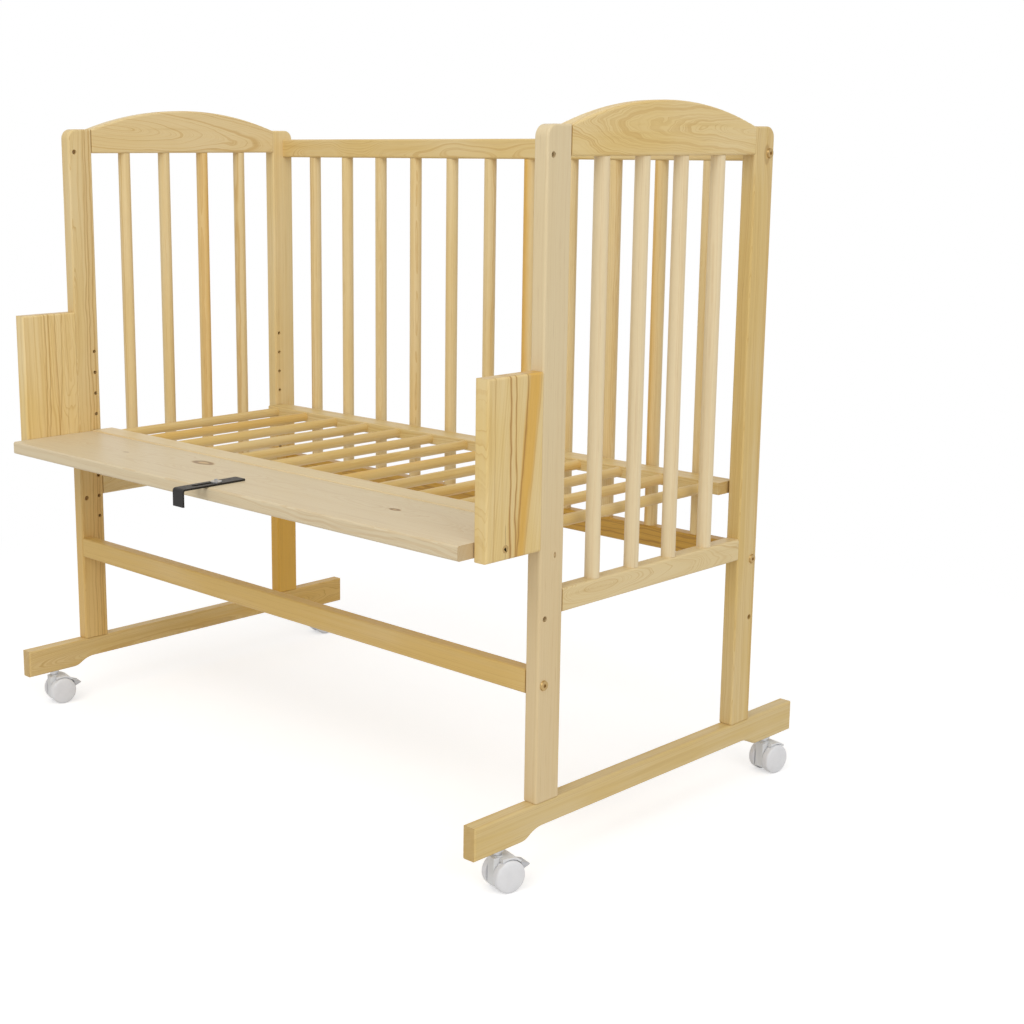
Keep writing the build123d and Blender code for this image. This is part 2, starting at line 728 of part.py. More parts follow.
# Casters: a fixed stem in the skid, a swivelling hooded housing, two wheels, and a brake in front
for end_name, end in ends:
    for side_name, side in sides:
        corner_name = end_name + "_" + side_name
        turn = math.radians(caster_turn[corner_name])
        along = Vector(math.cos(turn), -math.sin(turn), 0)
        trail = Vector(math.sin(turn), math.cos(turn), 0)
        stem_foot = Vector(side * mid_x, y_mid + end * caster_y, 0)
        hub = stem_foot + trail * caster_offset + Vector(0, 0, wheel_radius)
        side_plane = Plane(origin=hub, x_dir=trail, z_dir=along)
        turning_plane = Plane(origin=hub, x_dir=along, z_dir=trail * -1)

        with BuildPart() as stem:
            with BuildSketch(Plane.XY.offset(skid_bottom - stem_flange_thickness)):
                with Locations((stem_foot.X, stem_foot.Y)):
                    Circle(stem_flange_diameter / 2)
            extrude(amount=stem_flange_thickness)
            with BuildSketch(Plane.XY.offset(hood_top + boss_height + stem_neck_gap)):
                with Locations((stem_foot.X, stem_foot.Y)):
                    Circle(stem_neck_diameter / 2)
            extrude(until=Until.LAST)
            with BuildSketch(Plane.XY.offset(hood_top + boss_height - stem_in_housing)):
                with Locations((stem_foot.X, stem_foot.Y)):
                    Circle(stem_diameter / 2)
            extrude(
                amount=stem_in_housing - hood_top - boss_height + skid_bottom + stem_in_skid - 1
            )
        save(stem.part, corner_name + "_stem")

        has_brake = end < 0
        low_angle = -math.degrees(math.asin((wheel_radius - web_bottom) / web_reach))
        with BuildPart() as housing:
            with BuildSketch(side_plane):
                with BuildLine():
                    crown = CenterArc((0, 0), hood_outer, hood_end_angle, 90 - hood_end_angle)
                    rear = CenterArc((0, 0), web_reach, low_angle, hood_end_angle - low_angle)
                    Line(rear @ 1, crown @ 0)
                    Polyline(
                        crown @ 1,
                        (-caster_offset - web_front, hood_outer),
                        (-caster_offset - web_front, web_bottom - wheel_radius),
                        rear @ 0,
                    )
                make_face()
            extrude(amount=web_thickness / 2, both=True)
            fillet(
                housing.faces().filter_by(lambda f: abs(f.normal_at().dot(trail) + 1) < 1e-6)
                .edges().filter_by(Axis.Z),
                radius=web_corner,
            )
            with BuildSketch(side_plane):
                front_x = -caster_offset - hood_front
                front_angle = math.degrees(math.acos(front_x / hood_inner))
                with BuildLine():
                    crown = CenterArc((0, 0), hood_outer, hood_end_angle, 90 - hood_end_angle)
                    under = CenterArc((0, 0), hood_inner, hood_end_angle, front_angle - hood_end_angle)
                    Line(under @ 0, crown @ 0)
                    Polyline(crown @ 1, (front_x, hood_outer), under @ 1)
                make_face()
            extrude(amount=hood_width / 2, both=True)
            with BuildSketch(Plane.XY.offset(hood_top)):
                with Locations((stem_foot.X, stem_foot.Y)):
                    Circle(boss_diameter / 2)
            extrude(amount=boss_height)
            with BuildSketch(Plane.XY.offset(hood_top + boss_height)):
                with Locations((stem_foot.X, stem_foot.Y)):
                    Circle(stem_diameter / 2 + stem_fit)
            extrude(amount=-stem_in_housing - stem_neck_gap, mode=Mode.SUBTRACT)
            with BuildSketch(side_plane):
                Circle(axle_diameter / 2 + axle_press)
            extrude(amount=web_thickness, both=True, mode=Mode.SUBTRACT)
            if has_brake:
                with BuildSketch(side_plane):
                    with Locations((brake_pivot_x, brake_pivot_z)):
                        Circle(brake_hub_diameter / 2 + brake_slot_gap)
                    low = brake_pivot_z - brake_hub_diameter / 2 - brake_slot_gap
                    with BuildLine():
                        Polyline(
                            (brake_pivot_x, brake_pivot_z + brake_hub_diameter / 2 + brake_slot_gap),
                            (brake_pivot_x, low),
                            (web_reach, low - web_reach / 2),
                            (web_reach, brake_pivot_z + brake_hub_diameter / 2 + brake_slot_gap),
                            close=True,
                        )
                    make_face()
                extrude(amount=brake_slot_width / 2, both=True, mode=Mode.SUBTRACT)
                with BuildSketch(side_plane):
                    with Locations((brake_pivot_x, brake_pivot_z)):
                        Circle(brake_pin_diameter / 2 + axle_press)
                extrude(amount=web_thickness, both=True, mode=Mode.SUBTRACT)
        save(housing.part, corner_name + "_housing")

        with BuildPart() as axle:
            with BuildSketch(side_plane):
                Circle(axle_diameter / 2)
            extrude(amount=axle_half_length, both=True)
            if has_brake:
                with BuildSketch(side_plane):
                    with Locations((brake_pivot_x, brake_pivot_z)):
                        Circle(brake_pin_diameter / 2)
                extrude(amount=web_thickness / 2, both=True)
        save(axle.part, corner_name + "_axle")

        for wheel_name, out in (("inner", -side), ("outer", side)):
            tread_x = wheel_inner_x + wheel_tread
            rim_x = tread_x + wheel_rim
            rim_r = wheel_radius - wheel_rim
            rim_half = wheel_rim * math.sqrt(0.5)
            bore_r = axle_diameter / 2 + axle_fit
            bore_x = wheel_inner_x + wheel_bore_depth
            with BuildPart() as wheel:
                with BuildSketch(turning_plane):
                    with BuildLine():
                        Polyline(
                            (out * bore_x, 0),
                            (out * bore_x, bore_r),
                            (out * wheel_inner_x, bore_r),
                            (out * wheel_inner_x, wheel_radius),
                            (out * tread_x, wheel_radius),
                            (out * (tread_x + rim_half), rim_r + rim_half),
                            (out * rim_x, rim_r),
                            (out * wheel_outer_x, wheel_cap_radius),
                            (out * wheel_outer_x, 0),
                            close=True,
                        )
                    make_face()
                revolve(axis=Axis(hub, along))
            save(wheel.part, corner_name + "_" + wheel_name + "_wheel")

        if has_brake:
            pad_inner = wheel_radius + brake_pad_gap
            with BuildPart() as brake_lever:
                with BuildSketch(side_plane) as pad:
                    with BuildLine():
                        root = CenterArc(
                            (0, 0), pad_inner, brake_root_low_angle,
                            brake_root_high_angle - brake_root_low_angle,
                        )
                        Polyline(root @ 1, (brake_tip_x, brake_tip_z), root @ 0)
                    make_face()
                    fillet(pad.vertices().sort_by(Axis.X)[-1], radius=brake_tip_round)
                extrude(amount=brake_pad_width / 2, both=True)
                with BuildSketch(side_plane):
                    with Locations((brake_pivot_x, brake_pivot_z)):
                        Circle(brake_hub_diameter / 2)
                    with BuildLine():
                        mid_angle = math.radians(brake_root_low_angle + brake_root_high_angle) / 2
                        Polyline(
                            (brake_pivot_x, brake_pivot_z + brake_hub_diameter * 0.4),
                            (
                                (pad_inner + 2) * math.cos(mid_angle),
                                (pad_inner + 2) * math.sin(mid_angle) + 1,
                            ),
                            (
                                (pad_inner + 2) * math.cos(mid_angle * 0.7),
                                (pad_inner + 2) * math.sin(mid_angle * 0.7),
                            ),
                            (brake_pivot_x, brake_pivot_z - brake_hub_diameter * 0.4),
                            close=True,
                        )
                    make_face()
                extrude(amount=brake_slot_width / 2 - brake_side_gap, both=True)
                with BuildSketch(side_plane):
                    with Locations((brake_pivot_x, brake_pivot_z)):
                        Circle(brake_pin_diameter / 2 + brake_pin_fit)
                extrude(amount=brake_slot_width, both=True, mode=Mode.SUBTRACT)
            save(brake_lever.part, corner_name + "_brake_lever")
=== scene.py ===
"""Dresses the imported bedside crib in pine, metal and plastic, and sets up a pale studio."""

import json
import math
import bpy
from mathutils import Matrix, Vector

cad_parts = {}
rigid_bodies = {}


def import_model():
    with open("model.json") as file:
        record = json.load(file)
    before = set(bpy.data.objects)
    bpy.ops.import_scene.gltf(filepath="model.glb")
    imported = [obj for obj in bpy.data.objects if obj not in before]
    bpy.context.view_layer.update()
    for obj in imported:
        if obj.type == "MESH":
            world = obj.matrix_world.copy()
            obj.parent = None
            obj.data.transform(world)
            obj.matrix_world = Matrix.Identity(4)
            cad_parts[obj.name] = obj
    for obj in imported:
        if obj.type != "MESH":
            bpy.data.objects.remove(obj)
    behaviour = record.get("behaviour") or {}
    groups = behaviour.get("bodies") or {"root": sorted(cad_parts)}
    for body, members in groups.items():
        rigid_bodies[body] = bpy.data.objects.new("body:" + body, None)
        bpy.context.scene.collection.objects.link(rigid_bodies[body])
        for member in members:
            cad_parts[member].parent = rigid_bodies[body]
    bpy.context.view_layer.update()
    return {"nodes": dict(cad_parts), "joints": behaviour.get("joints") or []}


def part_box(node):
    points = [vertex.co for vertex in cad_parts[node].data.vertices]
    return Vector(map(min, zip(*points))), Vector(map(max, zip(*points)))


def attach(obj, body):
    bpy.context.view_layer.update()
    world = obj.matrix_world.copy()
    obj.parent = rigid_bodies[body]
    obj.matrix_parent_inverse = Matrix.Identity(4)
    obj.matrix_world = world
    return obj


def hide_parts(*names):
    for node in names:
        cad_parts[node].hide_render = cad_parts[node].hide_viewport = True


bl_info = {
    "name": "Bedside Crib Finishes",
    "version": (1, 0, 0),
    "blender": (4, 5, 0),
    "location": "View3D > Sidebar > Crib",
    "description": "Pine, bolts, bed hook and casters for the bedside crib, with a pale studio",
    "category": "Object",
}

from dataclasses import dataclass

import bmesh
import bpy
from bpy.props import FloatProperty, FloatVectorProperty, IntProperty, PointerProperty
from mathutils import Vector

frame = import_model()
nodes = frame["nodes"]

MM = 0.001
AXES = "XYZ"
SIDES = (("left", -1), ("right", 1))
CORNERS = [end + "_" + side for end in ("front", "rear") for side, _ in SIDES]


def tint(red, green, blue):
    """A colour as a paint chart gives it, from 0 to 255, with the sRGB curve taken out."""
    parts = [c / 255 for c in (red, green, blue)]
    return tuple(c / 12.92 if c <= 0.04045 else ((c + 0.055) / 1.055) ** 2.4 for c in parts)


def middle(node):
    """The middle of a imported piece's box."""
    low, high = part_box(node)
    return (low + high) / 2


# Node trees -----------------------------------------------------------


class Signal:
    """A number or vector on its way through a tree, written with ordinary operators."""

    def __init__(self, sheet, socket):
        self.sheet = sheet
        self.socket = socket

    def __add__(self, other):
        return self.sheet.maths("ADD", self, other)

    __radd__ = __add__

    def __sub__(self, other):
        return self.sheet.maths("SUBTRACT", self, other)

    def __rsub__(self, other):
        return self.sheet.maths("SUBTRACT", other, self)

    def __mul__(self, other):
        return self.sheet.maths("MULTIPLY", self, other)

    __rmul__ = __mul__

    def __truediv__(self, other):
        return self.sheet.maths("DIVIDE", self, other)

    def __gt__(self, other):
        return self.sheet.maths("GREATER_THAN", self, other)


class Sheet:
    """A node tree with one way to add a node: its type, its settings, then its inputs."""

    def __init__(self, tree):
        self.tree = tree

    def node(self, kind, settings=None, inputs=None, output=0):
        made = self.tree.nodes.new(kind)
        for name, value in (settings or {}).items():
            setattr(made, name, value)
        for name, value in (inputs or {}).items():
            self.feed(self.socket(made.inputs, name), value)
        return Signal(self, self.socket(made.outputs, output))

    def socket(self, sockets, name):
        """A socket by name, identifier or number, or None on the last node of a tree."""
        usable = [s for s in sockets if s.enabled]
        if not usable:
            return None
        if isinstance(name, int):
            return usable[name]
        return next(s for s in usable if name in (s.name, s.identifier))

    def feed(self, socket, value):
        if isinstance(value, Signal):
            self.tree.links.new(value.socket, socket)
        else:
            socket.default_value = value

    def maths(self, operation, *values):
        return self.node("ShaderNodeMath", {"operation": operation}, dict(enumerate(values)))

    def smooth(self, value, low, high):
        """0 below low, 1 above high and a soft step between; a falling step has low above high."""
        if low > high:
            return 1 - self.smooth(value, high, low)
        inputs = {"Value": value, "From Min": low, "From Max": high}
        return self.node("ShaderNodeMapRange", {"interpolation_type": "SMOOTHSTEP"}, inputs)

    def mix(self, share, first, second, blend="MIX"):
        inputs = {"Factor": share, "A": self.solid(first), "B": self.solid(second)}
        return self.node("ShaderNodeMix", {"data_type": "RGBA", "blend_type": blend}, inputs)

    def solid(self, colour):
        return colour if isinstance(colour, Signal) else (*colour[:3], 1)

    def vector(self, operation, first, second):
        inputs = {0: first, 1: second}
        return self.node("ShaderNodeVectorMath", {"operation": operation}, inputs)

    def split(self, vector):
        made = self.tree.nodes.new("ShaderNodeSeparateXYZ")
        self.feed(made.inputs[0], vector)
        return [Signal(self, s) for s in made.outputs]

    def join(self, x, y, z):
        return self.node("ShaderNodeCombineXYZ", None, {0: x, 1: y, 2: z})

    def noise(self, vector, scale, detail, roughness):
        inputs = {"Vector": vector, "Scale": scale, "Detail": detail, "Roughness": roughness}
        return self.node("ShaderNodeTexNoise", None, inputs, "Fac")


class Finish(Sheet):
    """One material. Its shader takes plain settings, and signals for what varies on a surface."""

    def __init__(self, name, centre=(0, 0, 0)):
        self.material = bpy.data.materials.new(name)
        self.material.use_nodes = True
        super().__init__(self.material.node_tree)
        self.tree.nodes.clear()
        place = self.node("ShaderNodeTexCoord", None, None, "Object")
        self.place = self.node(
            "ShaderNodeMapping",
            {"vector_type": "POINT"},
            {"Vector": place, "Location": tuple(-c for c in centre)},
        )

    def done(self, colour, roughness, relief, depth, settings=None):
        """Ends the tree. A relief of 1 stands depth above a relief of 0."""
        bump = {"Strength": 1.0, "Distance": depth, "Height": relief}
        varied = {
            "Base Color": colour,
            "Roughness": roughness,
            "Normal": self.node("ShaderNodeBump", None, bump),
        }
        shader = self.node("ShaderNodeBsdfPrincipled", None, {**varied, **(settings or {})})
        self.node("ShaderNodeOutputMaterial", None, {"Surface": shader})
        return self.material


# Sizes and colours that a user would change ---------------------------


def number(name, description, value, **more):
    return FloatProperty(name=name, description=description, default=value, **{"min": 0, **more})


def length(name, description, millimetres):
    kind = {"unit": "LENGTH", "subtype": "DISTANCE", "precision": 4}
    return number(name, description, millimetres * MM, **kind)


def share(name, description, value):
    return number(name, description, value, max=1, subtype="FACTOR")


def colour(name, description, red, green, blue):
    kind = {"min": 0, "max": 1, "size": 3, "subtype": "COLOR"}
    default = tint(red, green, blue)
    return FloatVectorProperty(name=name, description=description, default=default, **kind)


class PineSettings(bpy.types.PropertyGroup):
    sapwood: colour("Sapwood", "Pale wood between the rings", 227, 206, 159)
    straw: colour("Straw", "Yellower patches of the sapwood", 220, 191, 125)
    pale: colour("Pale wood", "Palest, slightly pink wood", 222, 206, 175)
    late: colour("Late wood", "Thin darker line of each ring", 188, 142, 62)
    # Also paints shade: it warms the foot of the left rear post and the back lower rail, under the
    # mattress base
    heart: colour("Heartwood", "Orange wood near the heart of the log", 213, 162, 52)
    knot: colour("Knot", "Dark wood of a knot", 112, 78, 44)
    fibre: colour("Fibre", "Dark fibres and resin lines", 150, 102, 48)
    end: colour("End grain", "Darker wood at a sawn end", 176, 138, 78)
    ring: length("Ring", "Usual width of one year's ring", 3.6)
    gloss: share("Lacquer roughness", "Roughness of the clear lacquer", 0.44)
    relief: length("Grain relief", "Depth of the grain under the lacquer", 0.03)


class HardwareSettings(bpy.types.PropertyGroup):
    bronze: colour("Bronze plating", "Bolt heads", 190, 160, 108)
    zinc: colour("Zinc plating", "Screws, washer, pins and caster stems", 196, 197, 199)
    strap: colour("Strap paint", "Dark paint of the bed hook", 25, 21, 19)
    socket: length("Bolt socket", "Width across the flats of the hex socket", 4.0)
    cross: length("Cross recess", "Width of the screws' cross recess", 4.4)
    cross_arm: length("Cross arm", "Thickness of one arm of the cross recess", 1.0)


class CasterSettings(bpy.types.PropertyGroup):
    plastic: colour("Housing plastic", "Light grey moulded housing", 226, 227, 228)
    wheel: colour("Wheel plastic", "Light grey moulded wheels", 228, 228, 230)
    brake: colour("Brake plastic", "Grey brake lever", 196, 197, 200)
    tread: length("Tread", "Straight part of a wheel's tread", 6.2)
    rim_round: number("Rim roundness", "Power of the dome's curve; 2 is an ellipse", 3.2, min=2, max=8)
    steps: IntProperty(name="Wheel steps", description="Facets round a wheel", default=72, min=24)


class StudioSettings(bpy.types.PropertyGroup):
    floor: colour("Floor", "Floor as it throws light back on the crib", 222, 221, 220)
    floor_lift: number("Floor lift", "White added to the floor as the camera sees it", 0.50)
    floor_fade: length("Floor fade", "How far from the crib the floor turns plain white", 1500)
    key_power: number("Key lamp", "Soft lamp over the front, in watts", 45)
    side_power: number("Side lamp", "Soft lamp at the right end, in watts", 112)
    sky: number("Sky", "Even light from all round", 0.60)
    lens: number("Lens", "Focal length, in millimetres, on the camera's sensor", 58.64, min=1)


SETTINGS = (
    ("crib_pine", PineSettings),
    ("crib_hardware", HardwareSettings),
    ("crib_casters", CasterSettings),
    ("crib_studio", StudioSettings),
)


# Pine -----------------------------------------------------------------


@dataclass(frozen=True)
class Cut:
    """How one piece was sawn out of its log. Lengths are millimetres.

    Places along the grain and across the face count from the piece's middle.
    """

    grain: str  # axis of the grain
    face: str  # axis across the widest face
    pith: tuple  # the log's heart: its place across the face and behind it
    lean: tuple = (0, 0)  # the heart's drift in both, per metre of grain
    heart: float = 0  # radius of the orange wood round the heart
    fade: float = 12  # half the width of the orange wood's soft edge
    wave: float = 5  # how far the rings wander slowly
    ripple: float = 2.0  # how far they wander quickly
    ring: float = 1.0  # width of a year's ring, against the usual one
    lines: float = 0.5  # share of late wood in each year's dark line
    warm: float = 0.5  # share of straw in the sapwood
    pale: float = 0.0  # share of pale wood all over
    orange: float = 0.0  # share of heartwood all over; on the back lower rail it is painted shade
    tone: float = 1.0  # brightness of the whole piece; lowered on the back lower rail as painted shade
    seed: int = 0  # place in the noise
    heart_and_shade_rise: tuple = None  # heartwood that rises from one place along to another, and its share; on the left rear post it is painted shade low down, under the mattress base
    streaks: tuple = ()  # dark lines: place across, drift per metre, width and share
    knots: tuple = ()  # knots: place along, place across, radius and share
    crack: tuple = None  # its place across and both its ends along
    rods: tuple = ()  # one number from 0 to 1 for each rod, which picks its place in the log


class Pine(Finish):
    """Lacquered pine. Its rings are cut out of a log, so that every face of a piece agrees."""

    # Four noises, by their waves per metre along the grain and across it
    DRIFT, RIPPLE, FIBRE, STREAK = (4.5, 10.0), (16.0, 50.0), (24.0, 900.0), (3.5, 110.0)
    # How far a seed or a rod's number shifts the noise, and how far the number turns the log
    SEED_STEP, ROD_STEP, ROD_TURN = 0.37, 37.0, 60.0
    # Rings wander more behind the face; years are uneven at this rate and by this many years
    DEEPER, YEAR_RATE, YEAR_SPREAD = 1.3, 0.31, 3.2
    # Where in a year its dark line rises and where it stops, and the strength of the faintest
    LINE_RISE, LINE_STOP, FAINTEST = (0.25, 0.94), (1.0, 0.95), 0.25
    # A knot's width against its length, its ragged rim, and how it pushes the rings, in years
    KNOT_WIDTH, KNOT_RAGGED, KNOT_FALL, KNOT_PUSH = 0.5, 1.1, -0.14, 1.6
    KNOT_RIM, KNOT_RINGS, KNOT_LINE = (1.15, 0.8), 1.7, (0.25, 0.85)
    # Straw comes in patches and is nowhere less than this share of the cut's warmth
    WARM_STREAK, WARM_PATCH, WARM_LEAST = 0.6, (0.0, 0.6), 0.35
    # Heartwood: its share, its uneven edge, the rods that have it, and how ragged a rise of heartwood
    # and painted shade is
    HEART_SHARE, HEART_EDGE, HEART_RODS, GLOW_RAGGED = 0.76, 9 * MM, (0.5, 0.8), 0.3
    # Dark fibres: where the noise shows them, and their share in early and in late wood
    FIBRE_SHOWS, FIBRE_EARLY, FIBRE_LATE = (0.55, 0.8), 0.10, 0.3
    STREAK_SHOWS, STREAK_SHARE = (0.58, 0.72), 0.10
    # How far a drawn streak follows the ripple and the drift, and how wide its late wood is
    STREAK_RIPPLE, STREAK_DRIFT, STREAK_HALO = 9 * MM, 5 * MM, 1.8
    # The crack: how far it follows the ripple, its edge, and the taper of its two ends
    CRACK_RIPPLE, CRACK_EDGE, CRACK_TAPER = 2.2 * MM, (0.5 * MM, 0.1 * MM), (4 * MM, 6 * MM)
    # Shares of the marks' colours, and the ends' dark edge
    KNOT_SHARE, CORE_SHARE, CRACK_SHARE, END_SHARE = 0.6, 0.7, 0.8, 0.4
    END_EDGE = (0.4 * MM, 0.1 * MM)
    # Parts of the relief, of the uneven roughness and of the rods' uneven tone
    FIBRE_RISE, LATE_RISE, KNOT_RISE, CRACK_DEPTH = 0.4, 0.7, 0.6, 1.5
    FIBRE_ROUGH, STREAK_ROUGH, ROD_TONES, SHINE = 0.10, 0.06, 0.06, 0.35

    def __init__(self, name, centre, cut, pitch=None):
        super().__init__(name, centre)
        self.look, self.cut = bpy.context.scene.crib_pine, cut
        grain, face = AXES.index(cut.grain), AXES.index(cut.face)
        parts = self.split(self.place)
        self.along, self.across, self.deep = parts[grain], parts[face], parts[3 - grain - face]
        self.shift = cut.seed * self.SEED_STEP
        self.pith = [p * MM for p in cut.pith]
        self.pick = None
        if pitch:
            self.part_rods(pitch)
        self.drift = self.wander(self.DRIFT) - 0.5
        self.ripple = self.wander(self.RIPPLE) - 0.5
        self.fibre = self.wander(self.FIBRE)
        self.streak = self.wander(self.STREAK)

    def part_rods(self, pitch):
        """Gives each rod its own place in the log, by the number stored on its point, which the recipe
        carries over to it.
        """
        self.pick = self.node("ShaderNodeAttribute", {"attribute_name": "pick"}, None, "Fac")
        self.across = (self.maths("FRACT", self.across / pitch + 0.5) - 0.5) * pitch
        self.shift = self.pick * self.ROD_STEP + self.shift
        turn = self.pick * self.ROD_TURN
        self.pith = [self.maths(way, turn) * self.pith[0] for way in ("SINE", "COSINE")]

    def wander(self, waves):
        """Noise that is long along the grain and short across it."""
        slow, fast = waves
        place = self.join(self.along * slow + self.shift, self.across * fast, self.deep * fast)
        return self.noise(place, scale=1.0, detail=2.0, roughness=0.55)

    def grow_rings(self):
        """Sets radius, the distance from the log's heart, and late, the dark line of each year."""
        cut = self.cut
        wave = self.drift * (cut.wave * MM)
        behind = self.drift * (cut.wave * self.DEEPER * MM)
        lean_x, lean_y = (self.along * (c * MM) for c in cut.lean)
        far_x = self.across - self.pith[0] - lean_x + wave
        far_y = self.deep - self.pith[1] - lean_y + behind
        distance = self.maths("SQRT", far_x * far_x + far_y * far_y)
        self.radius = distance + self.ripple * (cut.ripple * MM)
        self.near_knots = [self.push_rings(*knot) for knot in cut.knots]
        year = self.radius / (self.look.ring * cut.ring)
        uneven = self.line_noise("ShaderNodeTexNoise", year * self.YEAR_RATE + self.shift, "Fac")
        year = year + uneven * self.YEAR_SPREAD
        phase = self.maths("FRACT", year)
        late = self.smooth(phase, *self.LINE_RISE) * self.smooth(phase, *self.LINE_STOP)
        count = self.maths("FLOOR", year) + self.shift
        strength = self.line_noise("ShaderNodeTexWhiteNoise", count, "Value")
        self.late = late * late * (strength * (1 - self.FAINTEST) + self.FAINTEST)

    def line_noise(self, kind, place, output):
        return self.node(kind, {"noise_dimensions": "1D"}, {"W": place}, output)

    def push_rings(self, along, across, size, amount):
        """Bends the rings round a knot. Returns how far from it, 1 at its rim, and its share."""
        d_along = (self.along - along * MM) * self.KNOT_WIDTH
        d_across = self.across - across * MM
        near = self.maths("SQRT", d_along * d_along + d_across * d_across) / (size * MM)
        push = self.maths("EXPONENT", near * near * self.KNOT_FALL)
        self.radius = self.radius + push * (self.look.ring * self.KNOT_PUSH)
        return near + self.ripple * self.KNOT_RAGGED, amount

    def colour_wood(self):
        """Sets body, the colour without marks, and relief."""
        cut, look = self.cut, self.look
        patch = self.smooth(self.drift + self.streak * self.WARM_STREAK, *self.WARM_PATCH)
        warmth = patch * cut.warm + cut.warm * self.WARM_LEAST
        body = self.mix(warmth, look.sapwood, look.straw)
        if cut.pale:
            body = self.mix(cut.pale, body, look.pale)
        if cut.orange:
            body = self.mix(cut.orange, body, look.heart)
        if cut.heart:
            edge = self.radius + (self.streak - 0.5) * self.HEART_EDGE
            core = self.smooth(edge, (cut.heart + cut.fade) * MM, (cut.heart - cut.fade) * MM)
            if self.pick is not None:
                core = core * self.smooth(self.pick, *self.HEART_RODS)
            body = self.mix(core * self.HEART_SHARE, body, look.heart)
        # Heartwood rising along the piece; on the left rear post this is painted shade under the
        # mattress base
        if cut.heart_and_shade_rise:
            start, end, amount = cut.heart_and_shade_rise
            place = self.along + self.drift * self.GLOW_RAGGED
            place = place + (self.streak - 0.5) * self.GLOW_RAGGED
            body = self.mix(self.smooth(place, start * MM, end * MM) * amount, body, look.heart)
        body = self.mix(self.late * cut.lines, body, look.late)
        dark = self.late * self.FIBRE_LATE + self.FIBRE_EARLY
        dark = self.smooth(self.fibre, *self.FIBRE_SHOWS) * dark
        dark = dark + self.smooth(self.streak, *self.STREAK_SHOWS) * self.STREAK_SHARE
        self.body = self.mix(dark, body, look.fibre)
        self.relief = self.fibre * self.FIBRE_RISE + self.late * self.LATE_RISE

    def add_marks(self):
        """Draws the streaks, the knots and the crack."""
        look = self.look
        for across, lean, width, amount in self.cut.streaks:
            line = self.across - across * MM - self.along * (lean * MM)
            line = line + self.ripple * self.STREAK_RIPPLE + self.drift * self.STREAK_DRIFT
            line = self.maths("ABSOLUTE", line)
            for spread, wood in ((self.STREAK_HALO, look.late), (1, look.fibre)):
                mask = self.smooth(line, width * spread * MM, 0.0)
                self.body = self.mix(mask * amount, self.body, wood)
        for near, amount in self.near_knots:
            mask = self.smooth(near, *self.KNOT_RIM)
            rings = self.maths("PINGPONG", near * self.KNOT_RINGS, 1.0)
            core = self.smooth(rings, *self.KNOT_LINE) * mask
            self.body = self.mix(mask * (self.KNOT_SHARE * amount), self.body, look.late)
            self.body = self.mix(core * (self.CORE_SHARE * amount), self.body, look.knot)
            self.relief = self.relief + mask * self.KNOT_RISE
        if self.cut.crack:
            across, low, high = (c * MM for c in self.cut.crack)
            line = self.maths("ABSOLUTE", self.across - across + self.ripple * self.CRACK_RIPPLE)
            at_low, at_high = self.CRACK_TAPER
            split = self.smooth(line, *self.CRACK_EDGE)
            split = split * self.smooth(self.along, low, low + at_low)
            split = split * self.smooth(self.along, high, high - at_high)
            self.body = self.mix(split * self.CRACK_SHARE, self.body, look.knot)
            self.relief = self.relief - split * self.CRACK_DEPTH

    def darken_ends(self, half):
        """Sawn ends soak up more lacquer. half is half the length of the piece."""
        start, full = (half - reach for reach in self.END_EDGE)
        ends = self.smooth(self.maths("ABSOLUTE", self.along), start, full)
        self.body = self.mix(ends * self.END_SHARE, self.body, self.look.end)

    def lacquered(self):
        """Ends the tree with the piece's tone and an uneven lacquer."""
        tone = self.cut.tone
        level = (tone, tone, tone)
        if self.pick is not None:
            rod = self.pick * self.ROD_TONES + (tone - self.ROD_TONES / 2)
            level = self.join(rod, rod, rod)
        body = self.mix(1.0, self.body, level, "MULTIPLY")
        even = self.look.gloss - (self.FIBRE_ROUGH + self.STREAK_ROUGH) / 2
        roughness = self.fibre * self.FIBRE_ROUGH + self.streak * self.STREAK_ROUGH + even
        shine = {"Specular IOR Level": self.SHINE}
        return self.done(body, roughness, self.relief, self.look.relief, shine)


def pine(name, centre, cut, half=None, pitch=None):
    """A pine finish. half is half a board's length; pitch is the distance between rods."""
    wood = Pine(name, centre, cut, pitch)
    wood.grow_rings()
    wood.colour_wood()
    wood.add_marks()
    if half:
        wood.darken_ends(half)
    return wood.lacquered()


